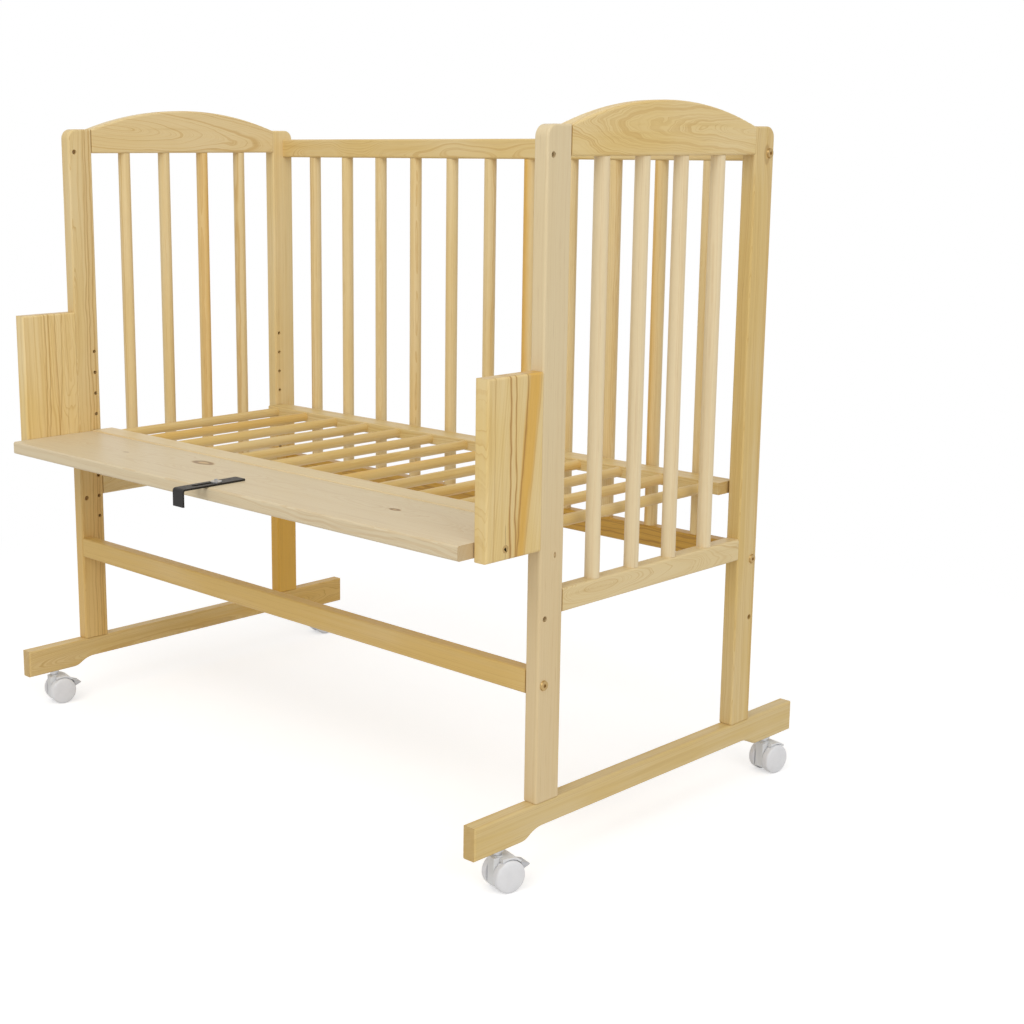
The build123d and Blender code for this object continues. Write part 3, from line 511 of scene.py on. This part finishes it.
BOARDS = {
    "right_front_post": Cut(
        "Z", "Y", (90, 140), (6, 0), lines=0.12, warm=0.4, pale=0.55, tone=0.98, seed=1,
        heart_and_shade_rise=(160, -200, 0.17), knots=((-93, 5, 1.8, 0.8),),
    ),
    "right_rear_post": Cut(
        "Z", "Y", (-46, 60), (4, 12), wave=14, ripple=5, ring=1.1, lines=0.4, warm=0.95,
        orange=0.10, tone=0.955, seed=2, knots=((356, 5, 6.0, 0.35),),
    ),
    "left_front_post": Cut(
        "Z", "Y", (-24, 40), (6, 4), wave=12, ripple=4, ring=0.9, lines=0.9, warm=0.6, pale=0.1,
        tone=1.01, seed=3, heart_and_shade_rise=(60, -260, 0.5),
        streaks=((2, 3, 1.0, 0.3), (8, -4, 1.2, 0.35), (14, 2, 0.9, 0.3)),
    ),
    # Painted shade: heartwood rising towards its foot stands for the shade under the mattress base
    "left_rear_post": Cut(
        "Z", "Y", (60, 90), (4, 0), lines=0.25, warm=0.5, tone=1.05, seed=4,
        heart_and_shade_rise=(-40, -200, 0.9),
    ),
    "right_top_rail": Cut(
        "Y", "Z", (4, 28), (-60, -120), wave=22, ripple=9, ring=0.85, lines=0.6, warm=0.75,
        tone=1.03, seed=5,
    ),
    "left_top_rail": Cut(
        "Y", "Z", (-5, 26), (-90, 110), wave=12, ripple=3.5, ring=0.7, lines=0.5, warm=0.5,
        pale=0.15, tone=1.04, seed=6,
    ),
    "right_lower_rail": Cut(
        "Y", "Z", (2, 23), (-20, 130), wave=22, ripple=5, ring=0.8, lines=0.45, warm=0.5,
        pale=0.15, seed=7,
    ),
    "left_lower_rail": Cut(
        "Y", "Z", (10, 40), (0, 60), wave=20, lines=0.5, warm=0.7, seed=8,
    ),
    "right_skid": Cut(
        "Y", "Z", (-70, 40), (8, 14), wave=14, ring=1.4, lines=0.3, warm=0.95, tone=0.93, seed=9,
    ),
    "left_skid": Cut(
        "Y", "Z", (-4, 6.4), (10, -60), wave=12, ripple=6, ring=0.8, lines=0.7, warm=0.9,
        orange=0.15, tone=0.97, seed=10, heart_and_shade_rise=(-60, 240, 0.5),
    ),
    "right_cheek": Cut(
        "Z", "Y", (21, 0), (114, 6), heart=13.4, fade=3, wave=6, ripple=3, ring=1.6, lines=0.45,
        warm=0.8, tone=1.04, seed=11, crack=(-14, -103, -60),
        streaks=(
            (-7.6, -21, 1.7, 0.7), (1.5, -20, 1.4, 0.65), (13, 70, 1.8, 0.55), (-33, 0, 0.8, 0.3),
        ),
    ),
    "left_cheek": Cut(
        "Z", "Y", (30, -40), (0, 20), wave=14, ripple=5, ring=1.5, lines=0.35, warm=0.75,
        tone=1.08, seed=12,
        streaks=(
            (-9, 0, 1.3, 0.4), (-2.6, 4, 1.2, 0.4), (11, -30, 1.2, 0.35), (17, 40, 1.2, 0.3),
            (28, 0, 0.8, 0.2),
        ),
    ),
    "back_top_rail": Cut(
        "X", "Z", (-8, -30), (10, 26), wave=20, ring=1.1, lines=0.55, warm=0.8, seed=13,
    ),
    # Painted shade: its low tone and its orange stand for the shade under the mattress base
    "back_lower_rail": Cut(
        "X", "Z", (4, -14), (6, 8), heart=30, fade=16, wave=12, ripple=5, lines=1.0, warm=1.0,
        orange=0.35, tone=0.86, seed=14, streaks=((-6, 0, 1.6, 0.5), (7, 6, 1.2, 0.4)),
    ),
    "stretcher": Cut(
        "X", "Z", (26, -14), (4, 6), wave=8, ring=1.4, lines=0.35, warm=1.0, orange=0.32,
        tone=0.98, seed=15,
    ),
    "base_front_rail": Cut(
        "X", "Y", (20, 40), (0, 6), wave=8, lines=0.3, warm=0.5, pale=0.4, seed=16,
    ),
    "base_rear_rail": Cut(
        "X", "Y", (-10, 26), (0, 8), wave=10, lines=0.4, warm=0.9, tone=0.97, seed=17,
    ),
    "table_board": Cut(
        "X", "Y", (6, -46), (30, 24), wave=60, ripple=5, ring=1.4, lines=0.24, warm=0.1,
        pale=0.75, tone=0.95, seed=18,
        knots=((-128.7, 32, 9.5, 0.9), (272, 12, 5.0, 1.0), (-270, 2, 4.0, 0.4)),
    ),
}

RODS = {
    "left_spindles": Cut(
        "Z", "Y", (15, 0), heart=22, fade=7, wave=6, ring=1.1, lines=0.55, warm=0.55, pale=0.1,
        tone=1.05, seed=21, rods=(0.57, 0.3, 0.98, 0.24),
    ),
    "right_spindles": Cut(
        "Z", "Y", (18, 0), heart=14, fade=6, wave=6, ring=1.4, lines=0.25, warm=0.35, pale=0.6,
        tone=1.09, seed=22, rods=(0.31, 0.12, 0.45, 0.4),
    ),
    "back_spindles": Cut(
        "Z", "X", (18, 0), heart=18, fade=6, wave=6, ripple=4, ring=1.2, lines=0.45, warm=0.55,
        pale=0.1, tone=1.06, seed=23,
        rods=(0.33, 0.42, 0.2, 0.56, 0.48, 0.28, 0.8, 0.22, 0.45, 0.7, 0.37),
    ),
    "base_dowels": Cut(
        "Y", "X", (18, 0), heart=18, fade=6, wave=6, ring=1.3, lines=0.4, warm=1.0, orange=0.12,
        seed=24, rods=(0.2, 0.64, 0.6, 0.3, 0.1, 0.7, 0.38, 0.72, 0.25, 0.67, 0.33, 0.9, 0.15),
    ),
}


def dress(node, material):
    """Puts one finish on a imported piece."""
    piece = nodes[node]
    piece.data.materials.clear()
    piece.data.materials.append(material)


class CRIB_OT_boards(bpy.types.Operator):
    """Gives every flat pine piece its own cut of wood"""

    bl_idname = "crib.boards"
    bl_label = "Posts, rails and boards"

    def execute(self, context):
        for name, cut in BOARDS.items():
            low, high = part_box(name)
            half = (high - low)[AXES.index(cut.grain)] / 2
            dress(name, pine("pine_" + name, (low + high) / 2, cut, half))
        return {"FINISHED"}


# Spindles and dowels --------------------------------------------------


ROD_GAP = 12 * MM  # points closer than this belong to one rod
ROD_SIDES = 48
ROD_CORNER = 0.6  # radians between faces of a rod from which its edges stay crisp
TENON_SHARE = 0.66  # a tenon's radius against its rod's


class Recipe(Sheet):
    """A Geometry Nodes tree that puts a shape on every point. Its named inputs go by their type."""

    def __init__(self, name, **inputs):
        super().__init__(bpy.data.node_groups.new(name, "GeometryNodeTree"))
        face = self.tree.interface
        face.new_socket("Geometry", in_out="INPUT", socket_type="NodeSocketGeometry")
        self.keys = {}
        for kind, labels in {**inputs, "Vector": ["Turn"], "Material": ["Finish"]}.items():
            for label in labels:
                made = face.new_socket(label, in_out="INPUT", socket_type="NodeSocket" + kind)
                self.keys[label] = made.identifier
        face.new_socket("Geometry", in_out="OUTPUT", socket_type="NodeSocketGeometry")
        self.start = self.tree.nodes.new("NodeGroupInput")

    def given(self, label):
        return Signal(self, self.socket(self.start.outputs, label))

    def cylinder(self, sides, radius, depth):
        inputs = {"Vertices": sides, "Radius": radius, "Depth": depth}
        return self.node("GeometryNodeMeshCylinder", {"fill_type": "NGON"}, inputs, "Mesh")

    def gather(self, *shapes):
        made = self.tree.nodes.new("GeometryNodeJoinGeometry")
        for shape in reversed(shapes):
            self.tree.links.new(shape.socket, made.inputs[0])
        return Signal(self, made.outputs[0])

    def move(self, shape, rise):
        lifted = {"Geometry": shape, "Translation": self.join(0.0, 0.0, rise)}
        return self.node("GeometryNodeTransform", None, lifted)

    def close(self, shape, corner):
        """Ends the tree: the shape on every point, smooth up to corners of so many radians."""
        kind = "GeometryNodeSetShadeSmooth"
        row = {"Points": self.given("Geometry"), "Instance": shape, "Rotation": self.given("Turn")}
        shape = self.node("GeometryNodeInstanceOnPoints", None, row)
        shape = self.node("GeometryNodeRealizeInstances", None, {0: shape})
        shape = self.node(kind, {"domain": "FACE"}, {"Geometry": shape, "Shade Smooth": True})
        angle = self.node("GeometryNodeInputMeshEdgeAngle", None, None, "Unsigned Angle")
        crisp = {"Geometry": shape, "Selection": angle > corner, "Shade Smooth": False}
        shape = self.node(kind, {"domain": "EDGE"}, crisp)
        finish = {"Geometry": shape, "Material": self.given("Finish")}
        shape = self.node("GeometryNodeSetMaterial", None, finish)
        out = self.tree.nodes.new("NodeGroupOutput")
        self.tree.links.new(shape.socket, out.inputs[0])


def adopt(name, mesh, body, stands_for):
    """Puts a finished mesh on its body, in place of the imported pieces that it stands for."""
    piece = bpy.data.objects.new(name, mesh)
    bpy.context.scene.collection.objects.link(piece)
    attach(piece, body)
    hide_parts(*stands_for)


def grow(name, recipe, points, values, stands_for, picks=()):
    """Runs a recipe on a row of points and keeps the result as a plain mesh on the frame."""
    seed = bpy.data.meshes.new(name + "_points")
    seed.from_pydata([tuple(p) for p in points], [], [])
    if picks:
        seed.attributes.new("pick", "FLOAT", "POINT").data.foreach_set("value", picks)
    maker = bpy.data.objects.new(name + "_maker", seed)
    bpy.context.scene.collection.objects.link(maker)
    modifier = maker.modifiers.new("make", "NODES")
    modifier.node_group = recipe.tree
    for label, value in values.items():
        modifier[recipe.keys[label]] = value
    graph = bpy.context.evaluated_depsgraph_get()
    mesh = bpy.data.meshes.new_from_object(maker.evaluated_get(graph), depsgraph=graph)
    bpy.data.objects.remove(maker)
    if not mesh.polygons:
        raise RuntimeError(name + " came out empty")
    mesh.name = name
    adopt(name, mesh, "frame", [stands_for])


def rod_recipe():
    """Round rods with a thinner tenon at both ends, one on each point."""
    sizes = ("Radius", "Length", "Tenon Radius", "Tenon Length")
    make = Recipe("round_rods", Float=sizes, Int=["Sides"])
    sides, length = make.given("Sides"), make.given("Length")
    shank = make.cylinder(sides, make.given("Radius"), length)
    whole = length + make.given("Tenon Length") * 2
    tenons = make.cylinder(sides, make.given("Tenon Radius"), whole)
    make.close(make.gather(shank, tenons), ROD_CORNER)
    return make


def clusters(places, gap):
    """The middles of groups of numbers that stand closer together than the gap."""
    places = sorted(places)
    groups = [[places[0]]]
    for place in places[1:]:
        if place - groups[-1][-1] > gap:
            groups.append([])
        groups[-1].append(place)
    return [(g[0] + g[-1]) / 2 for g in groups]


class CRIB_OT_rods(bpy.types.Operator):
    """Turns the round spindles and the dowels of the mattress base"""

    bl_idname = "crib.rods"
    bl_label = "Spindles and base dowels"

    tenon_length: FloatProperty(name="Tenon", default=12 * MM, unit="LENGTH")

    def execute(self, context):
        recipe = rod_recipe()
        for node, cut in RODS.items():
            low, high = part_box(node)
            grain, spread = AXES.index(cut.grain), AXES.index(cut.face)
            thick = 3 - grain - spread
            rows = clusters([v.co[spread] for v in nodes[node].data.vertices], ROD_GAP)
            points = [(low + high) / 2 for _ in rows]
            for point, place in zip(points, rows):
                point[spread] = place
            radius = (high[thick] - low[thick]) / 2
            values = {
                "Radius": radius,
                "Length": high[grain] - low[grain] - 2 * self.tenon_length,
                "Tenon Radius": radius * TENON_SHARE,
                "Tenon Length": self.tenon_length,
                "Sides": ROD_SIDES,
                "Turn": (math.pi / 2 if cut.grain == "Y" else 0.0, 0.0, 0.0),
                "Finish": pine("pine_" + node, points[0], cut, pitch=rows[1] - rows[0]),
            }
            grow(node + "_turned", recipe, points, values, node, cut.rods)
        return {"FINISHED"}


# Hardware -------------------------------------------------------------


FLUSH = 0.2 * MM  # points this close to the outermost one belong to a head's top
SCREW_GAP = 20 * MM  # points closer than this belong to one screw
SCRATCHES = (2600.0, 500.0, 900.0)  # fine scratches per metre along each axis
HEAD_SIDES, SHANK_SIDES = 40, 24
HEAD_CORNER = 0.35  # radians between faces of a head from which its edges stay crisp
BOLT_TOP, BOLT_UNDER, BOLT_SHANK = 5.6 * MM, 6.25 * MM, 3.0 * MM  # radii
CHEEK_HEAD = 2.8 * MM  # height of a countersunk head
SCREW_SHANK = 2.0 * MM  # radius of the screws' shanks
PAN_TOP = 0.36  # radius of a pan head's flat top, against the head's width
PAN_TURN = 0.6  # turn of its cross recess, in radians


def plated(name, base, roughness):
    """Plated metal with faint clouds and fine scratches."""
    look = Finish(name)
    cloud = look.noise(look.place, scale=160.0, detail=3.0, roughness=0.6)
    brushed = look.vector("MULTIPLY", look.place, SCRATCHES)
    scratch = look.noise(brushed, scale=1.0, detail=1.0, roughness=0.5)
    dull = [c * 0.75 for c in base]
    body = look.mix(look.smooth(cloud, low=0.42, high=0.75) * 0.6, base, dull)
    swing = 0.12  # of the roughness, both ways
    rough = cloud * (swing * 2) + (roughness - swing)
    return look.done(body, rough, scratch, 0.01 * MM, {"Metallic": 1.0})


def painted(name, base, roughness):
    """Dark paint with a fine orange-peel surface and worn, lighter specks."""
    look = Finish(name)
    peel = look.noise(look.place, scale=1500.0, detail=2.0, roughness=0.5)
    worn = look.noise(look.place, scale=220.0, detail=4.0, roughness=0.7)
    light = [min(1.0, c * 2.0 + 0.004) for c in base]
    body = look.mix(look.smooth(worn, low=0.6, high=0.8) * 0.4, base, light)
    swing = 0.1
    rough = worn * (swing * 2) + (roughness - swing)
    return look.done(body, rough, peel, 0.02 * MM, {"Specular IOR Level": 0.35})


def moulded(name, base, roughness):
    """Moulded plastic with a faint grain and slightly uneven gloss."""
    look = Finish(name)
    grain = look.noise(look.place, scale=1100.0, detail=2.0, roughness=0.55)
    cloud = look.noise(look.place, scale=90.0, detail=3.0, roughness=0.5)
    shade = [c * 0.9 for c in base]
    body = look.mix(look.smooth(cloud, low=0.4, high=0.7) * 0.35, base, shade)
    swing = 0.08
    rough = cloud * (swing * 2) + (roughness - swing)
    return look.done(body, rough, grain, 0.02 * MM)


def screw_recipe(name, recess):
    """A head with a recess on a shank, one on each point, with the head's top on the point."""
    sizes = ("Top Radius", "Under Radius", "Head Height", "Recess", "Arm", "Shank Radius", "Length")
    make = Recipe(name, Float=sizes)
    height, size = make.given("Head Height"), make.given("Recess")
    cone = {
        "Vertices": HEAD_SIDES,
        "Radius Top": make.given("Top Radius"),
        "Radius Bottom": make.given("Under Radius"),
        "Depth": height,
    }
    head = make.node("GeometryNodeMeshCone", {"fill_type": "NGON"}, cone, "Mesh")
    head = make.move(head, height * -1.0)
    if recess == "hex":
        corner = 0.5 / math.cos(math.pi / 6)  # from the middle to a corner, for flats 1 apart
        tool = make.cylinder(6, size * corner, height * 1.5)
    else:
        arm = make.given("Arm")
        bars = (make.join(size, arm, height), make.join(arm, size, height))
        tool = make.gather(
            *[make.node("GeometryNodeMeshCube", None, {"Size": bar}, "Mesh") for bar in bars]
        )
    meshes = {"Mesh 1": head, "Mesh 2": tool}
    hollow = make.node("GeometryNodeMeshBoolean", {"operation": "DIFFERENCE"}, meshes, "Mesh")
    length = make.given("Length")
    shank = make.cylinder(SHANK_SIDES, make.given("Shank Radius"), length)
    shank = make.move(shank, length * -0.5 - height)
    make.close(make.gather(hollow, shank), HEAD_CORNER)
    return make


class CRIB_OT_hardware(bpy.types.Operator):
    """Plates the bolts, nuts, screws, pins, washer and caster stems"""

    bl_idname = "crib.hardware"
    bl_label = "Bolts and screws"

    bolt_length: FloatProperty(name="Bolt length", default=50 * MM, unit="LENGTH")
    screw_length: FloatProperty(name="Screw length", default=30 * MM, unit="LENGTH")

    def execute(self, context):
        look = context.scene.crib_hardware
        zinc = plated("zinc_plate", look.zinc, roughness=0.34)
        for node in ("barrel_nuts", "hook_washer", "base_support_pins"):
            dress(node, zinc)
        self.bolts(look)
        self.screws(look, zinc)
        for corner in CORNERS:
            dress(corner + "_stem", zinc)
            dress(corner + "_axle", zinc)
        hidden = Cut("Y", "X", (30, 0), lines=0.4, warm=0.3, tone=0.95, seed=30)
        dress("joint_dowels", pine("pine_joint_dowels", middle("joint_dowels"), hidden))
        return {"FINISHED"}

    def heads(self, node, side):
        """The outer ends of a node's screws on one side: a point on each one's axis."""
        low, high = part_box(node)
        reach = high.x if side > 0 else low.x
        outer = [v.co for v in nodes[node].data.vertices if abs(v.co.x - reach) < FLUSH]
        points = []
        for y in clusters([c.y for c in outer], SCREW_GAP):
            row = [c.z for c in outer if abs(c.y - y) < SCREW_GAP]
            points += [Vector((reach, y, z)) for z in clusters(row, SCREW_GAP)]
        return points

    def bolts(self, look):
        recipe = screw_recipe("hex_bolts", "hex")
        edge = max(v.co.x for v in nodes["right_front_post"].data.vertices)
        bolt = {
            "Top Radius": BOLT_TOP,
            "Under Radius": BOLT_UNDER,
            "Head Height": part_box("frame_bolts")[1].x - edge,
            "Recess": look.socket,
            "Arm": 0.0,
            "Shank Radius": BOLT_SHANK,
            "Length": self.bolt_length,
            "Finish": plated("bronze_plate", look.bronze, roughness=0.42),
        }
        for name, side in SIDES:
            values = {**bolt, "Turn": (0.0, side * math.pi / 2, 0.0)}
            points = self.heads("frame_bolts", side)
            grow(name + "_bolts", recipe, points, values, "frame_bolts")

    def screws(self, look, zinc):
        recipe = screw_recipe("cross_screws", "cross")
        screw = {"Recess": look.cross, "Arm": look.cross_arm, "Shank Radius": SCREW_SHANK}
        low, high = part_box("cheek_screws")
        for name, side in SIDES:
            values = {
                **screw,
                "Top Radius": (high.z - low.z) / 2,
                "Under Radius": SCREW_SHANK,
                "Head Height": CHEEK_HEAD,
                "Length": self.screw_length,
                "Turn": (0.0, side * math.pi / 2, 0.0),
                "Finish": plated(name + "_screw_plate", look.bronze, roughness=0.5),
            }
            points = self.heads("cheek_screws", side)
            grow(name + "_cheek_screw", recipe, points, values, "cheek_screws")
        low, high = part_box("hook_screw")
        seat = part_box("hook_washer")[1].z
        top = (low + high) / 2
        top.z = high.z
        values = {
            **screw,
            "Top Radius": (high.x - low.x) * PAN_TOP,
            "Under Radius": (high.x - low.x) / 2,
            "Head Height": high.z - seat,
            "Length": seat - low.z,
            "Turn": (0.0, 0.0, PAN_TURN),
            "Finish": zinc,
        }
        grow("hook_pan_screw", recipe, [top], values, "hook_screw")


class CRIB_OT_bed_hook(bpy.types.Operator):
    """Paints the strap of the bed hook"""

    bl_idname = "crib.bed_hook"
    bl_label = "Bed hook"

    def execute(self, context):
        look = context.scene.crib_hardware
        dress("bed_hook", painted("strap_paint", look.strap, roughness=0.45))
        return {"FINISHED"}


# Casters --------------------------------------------------------------


WHEEL_BORE = 3.05 * MM  # radius of the hole for the axle
HUB_DEPTH = 7 * MM
RIM_EDGE = 0.5 * MM  # bevel of the tread's inner edge
DOME_STEPS = 16
WHEEL_CORNER = 32  # degrees between faces of a wheel from which its edges stay crisp


def lathe(name, profile, origin, axis, steps):
    """A shape turned from pairs of distance along the axis and radius; radius 0 closes a pole."""
    axis = Vector(axis).normalized()
    side = axis.orthogonal().normalized()
    other = axis.cross(side)
    points, rings = [], []
    for reach, radius in profile:
        centre = Vector(origin) + axis * reach
        if radius == 0:
            rings.append([len(points)] * steps)
            points.append(tuple(centre))
            continue
        rings.append(list(range(len(points), len(points) + steps)))
        for i in range(steps):
            a = 2 * math.pi * i / steps
            points.append(tuple(centre + (side * math.cos(a) + other * math.sin(a)) * radius))
    faces = []
    for low, high in zip(rings, rings[1:]):
        for i in range(steps):
            j = (i + 1) % steps
            corners = [low[i], low[j], high[j], high[i]]
            faces.append([c for n, c in enumerate(corners) if c not in corners[:n]])
    mesh = bpy.data.meshes.new(name)
    mesh.from_pydata(points, [], faces)
    mesh.validate()
    return mesh


def settle(mesh):
    """Turns the faces outwards, and makes curves smooth and corners crisp."""
    work = bmesh.new()
    work.from_mesh(mesh)
    bmesh.ops.recalc_face_normals(work, faces=work.faces)
    work.to_mesh(mesh)
    work.free()
    for face in mesh.polygons:
        face.use_smooth = True
    mesh.set_sharp_from_angle(angle=math.radians(WHEEL_CORNER))


class CRIB_OT_casters(bpy.types.Operator):
    """Moulds the smooth wheels and colours the housings and brake levers"""

    bl_idname = "crib.casters"
    bl_label = "Casters"

    def execute(self, context):
        look = context.scene.crib_casters
        wheel_finish = moulded("wheel_plastic", look.wheel, roughness=0.38)
        housing_finish = moulded("housing_plastic", look.plastic, roughness=0.42)
        brake_finish = moulded("brake_plastic", look.brake, roughness=0.45)
        joints = {j["child"]: j for j in frame["joints"]}
        for corner in CORNERS:
            dress(corner + "_housing", housing_finish)
            if corner.startswith("front"):
                dress(corner + "_brake_lever", brake_finish)
            for which in ("inner", "outer"):
                node = corner + "_" + which + "_wheel"
                self.wheel(node, joints[node], wheel_finish, look)
        return {"FINISHED"}

    def wheel(self, node, joint, finish, look):
        """A flat inner face, a straight tread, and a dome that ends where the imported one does."""
        axis = Vector(joint["axis"]).normalized()
        hub = Vector(joint["pos_m"])
        web = middle(joint["parent"].replace("_caster", "_axle"))
        out = axis if (middle(node) - web).dot(axis) > 0 else -axis
        spokes = [v.co - hub for v in nodes[node].data.vertices]
        reach = [spoke.dot(out) for spoke in spokes]
        inner, outer = min(reach), max(reach)
        radius = max((spoke - out * r).length for spoke, r in zip(spokes, reach))
        shoulder = inner + look.tread
        profile = [
            (inner + HUB_DEPTH, 0),
            (inner + HUB_DEPTH, WHEEL_BORE),
            (inner, WHEEL_BORE),
            (inner, radius - RIM_EDGE),
            (inner + RIM_EDGE, radius),
            (shoulder, radius),
        ]
        for i in range(1, DOME_STEPS + 1):
            a = math.pi / 2 * i / DOME_STEPS
            rise = (outer - shoulder) * math.sin(a) ** (2 / look.rim_round)
            fall = 0 if i == DOME_STEPS else radius * math.cos(a) ** (2 / look.rim_round)
            profile.append((shoulder + rise, fall))
        mesh = lathe(node + "_moulded", profile, hub, out, look.steps)
        settle(mesh)
        mesh.materials.append(finish)
        adopt(node + "_moulded", mesh, node, [node])


# Studio ---------------------------------------------------------------


# Each lamp's name, its setting, its place and its width, all aimed at the crib's middle
LAMPS = (
    ("key_lamp", "key_power", (0.6, -2.6, 3.0), 2.6),
    ("side_lamp", "side_power", (6.0, -1.6, 3.4), 4.4),
)
AIM = Vector((0, 0, 0.45))
SENSOR = 36  # width, in millimetres
CLIP_END = 60  # how far the camera sees
FLOOR_HALF = 14.0  # half the floor's width
FADE_START = 0.45  # where the floor starts to turn white, as a share of its fade
WHITE = (1, 1, 1, 1)


class CRIB_OT_studio(bpy.types.Operator):
    """Sets the floor, the soft lamps, the white surroundings and the camera"""

    bl_idname = "crib.studio"
    bl_label = "Studio"

    camera_place: FloatVectorProperty(
        name="Camera", default=(1.6812, -1.5895, 0.8492), subtype="TRANSLATION", unit="LENGTH"
    )
    camera_tilt: FloatProperty(name="Tilt", default=math.radians(78.56), subtype="ANGLE")
    camera_turn: FloatProperty(name="Turn", default=math.radians(46.15), subtype="ANGLE")
    camera_shift: FloatVectorProperty(name="Shift", default=(0.1209, -0.0288), size=2)

    def execute(self, context):
        look = context.scene.crib_studio
        scene = context.scene
        self.floor(look)
        self.surroundings(scene, look)
        for name, power, place, size in LAMPS:
            self.lamp(name, place, size, getattr(look, power))
        lens = bpy.data.cameras.new("photo_camera")
        lens.sensor_width = SENSOR
        lens.lens = look.lens
        lens.shift_x, lens.shift_y = self.camera_shift
        lens.clip_end = CLIP_END
        camera = bpy.data.objects.new("photo_camera", lens)
        camera.location = self.camera_place
        camera.rotation_euler = (self.camera_tilt, 0, self.camera_turn)
        scene.collection.objects.link(camera)
        scene.camera = camera
        scene.view_settings.view_transform = "Standard"
        return {"FINISHED"}

    def floor(self, look):
        """A matt floor that keeps the crib's shadow and fades to plain white round it."""
        mesh = bpy.data.meshes.new("studio_floor")
        signs = ((-1, -1), (1, -1), (1, 1), (-1, 1))
        corners = [(x * FLOOR_HALF, y * FLOOR_HALF, 0) for x, y in signs]
        mesh.from_pydata(corners, [], [(0, 1, 2, 3)])
        floor = bpy.data.objects.new("studio_floor", mesh)
        bpy.context.scene.collection.objects.link(floor)
        paint = Finish("floor_paint")
        speck = paint.noise(paint.place, scale=40.0, detail=3.0, roughness=0.6)
        body = paint.mix(speck * 0.04, look.floor, [c * 0.9 for c in look.floor])
        matt = paint.node("ShaderNodeBsdfDiffuse", None, {"Color": body})
        seen = self.seen(paint)
        lift = self.white(paint, seen * look.floor_lift)
        near = paint.node("ShaderNodeAddShader", None, {0: matt, 1: lift})
        x, y, _ = paint.split(paint.place)
        reach = paint.maths("SQRT", x * x + y * y)
        away = paint.smooth(reach, look.floor_fade * FADE_START, look.floor_fade)
        far = self.white(paint, 1.0)
        both = paint.node("ShaderNodeMixShader", None, {0: away * seen, 1: near, 2: far})
        paint.node("ShaderNodeOutputMaterial", None, {"Surface": both})
        mesh.materials.append(paint.material)

    def white(self, sheet, strength):
        return sheet.node("ShaderNodeEmission", None, {"Color": WHITE, "Strength": strength})

    def seen(self, sheet):
        """1 for what the camera sees, straight, in a gloss or through glass."""
        rays = sheet.tree.nodes.new("ShaderNodeLightPath")
        names = ("Is Camera Ray", "Is Glossy Ray", "Is Transmission Ray")
        straight, gloss, glass = (Signal(sheet, rays.outputs[n]) for n in names)
        return sheet.maths("MAXIMUM", sheet.maths("MAXIMUM", straight, gloss), glass)

    def surroundings(self, scene, look):
        world = bpy.data.worlds.new("studio_white")
        world.use_nodes = True
        sheet = Sheet(world.node_tree)
        sheet.tree.nodes.clear()
        seen = self.seen(sheet)
        strength = seen * (1 - look.sky) + look.sky
        sky = sheet.node("ShaderNodeBackground", None, {"Color": WHITE, "Strength": strength})
        sheet.node("ShaderNodeOutputWorld", None, {"Surface": sky})
        scene.world = world

    def lamp(self, name, place, size, power):
        light = bpy.data.lights.new(name, "AREA")
        light.shape = "SQUARE"
        light.size = size
        light.energy = power
        lamp = bpy.data.objects.new(name, light)
        lamp.location = place
        lamp.rotation_euler = (AIM - lamp.location).to_track_quat("-Z", "Y").to_euler()
        bpy.context.scene.collection.objects.link(lamp)


# Panel and registration -----------------------------------------------


OPERATORS = (
    CRIB_OT_boards,
    CRIB_OT_rods,
    CRIB_OT_hardware,
    CRIB_OT_bed_hook,
    CRIB_OT_casters,
    CRIB_OT_studio,
)


class CRIB_PT_pieces(bpy.types.Panel):
    """Lists the crib's settings and the steps that dress it"""

    bl_idname = "CRIB_PT_pieces"
    bl_label = "Bedside crib"
    bl_space_type = "VIEW_3D"
    bl_region_type = "UI"
    bl_category = "Crib"

    def draw(self, context):
        for name, kind in SETTINGS:
            box = self.layout.box()
            for field in kind.__annotations__:
                box.prop(getattr(context.scene, name), field)
        for operator in OPERATORS:
            self.layout.operator(operator.bl_idname)


def register():
    for name, kind in SETTINGS:
        bpy.utils.register_class(kind)
        setattr(bpy.types.Scene, name, PointerProperty(type=kind))
    for kind in (*OPERATORS, CRIB_PT_pieces):
        bpy.utils.register_class(kind)


def unregister():
    for kind in reversed((*OPERATORS, CRIB_PT_pieces)):
        bpy.utils.unregister_class(kind)
    for name, kind in reversed(SETTINGS):
        delattr(bpy.types.Scene, name)
        bpy.utils.unregister_class(kind)


def main():
    register()
    bpy.ops.crib.boards()
    bpy.ops.crib.rods()
    bpy.ops.crib.hardware()
    bpy.ops.crib.bed_hook()
    bpy.ops.crib.casters()
    bpy.ops.crib.studio()


if __name__ == "__main__":
    main()
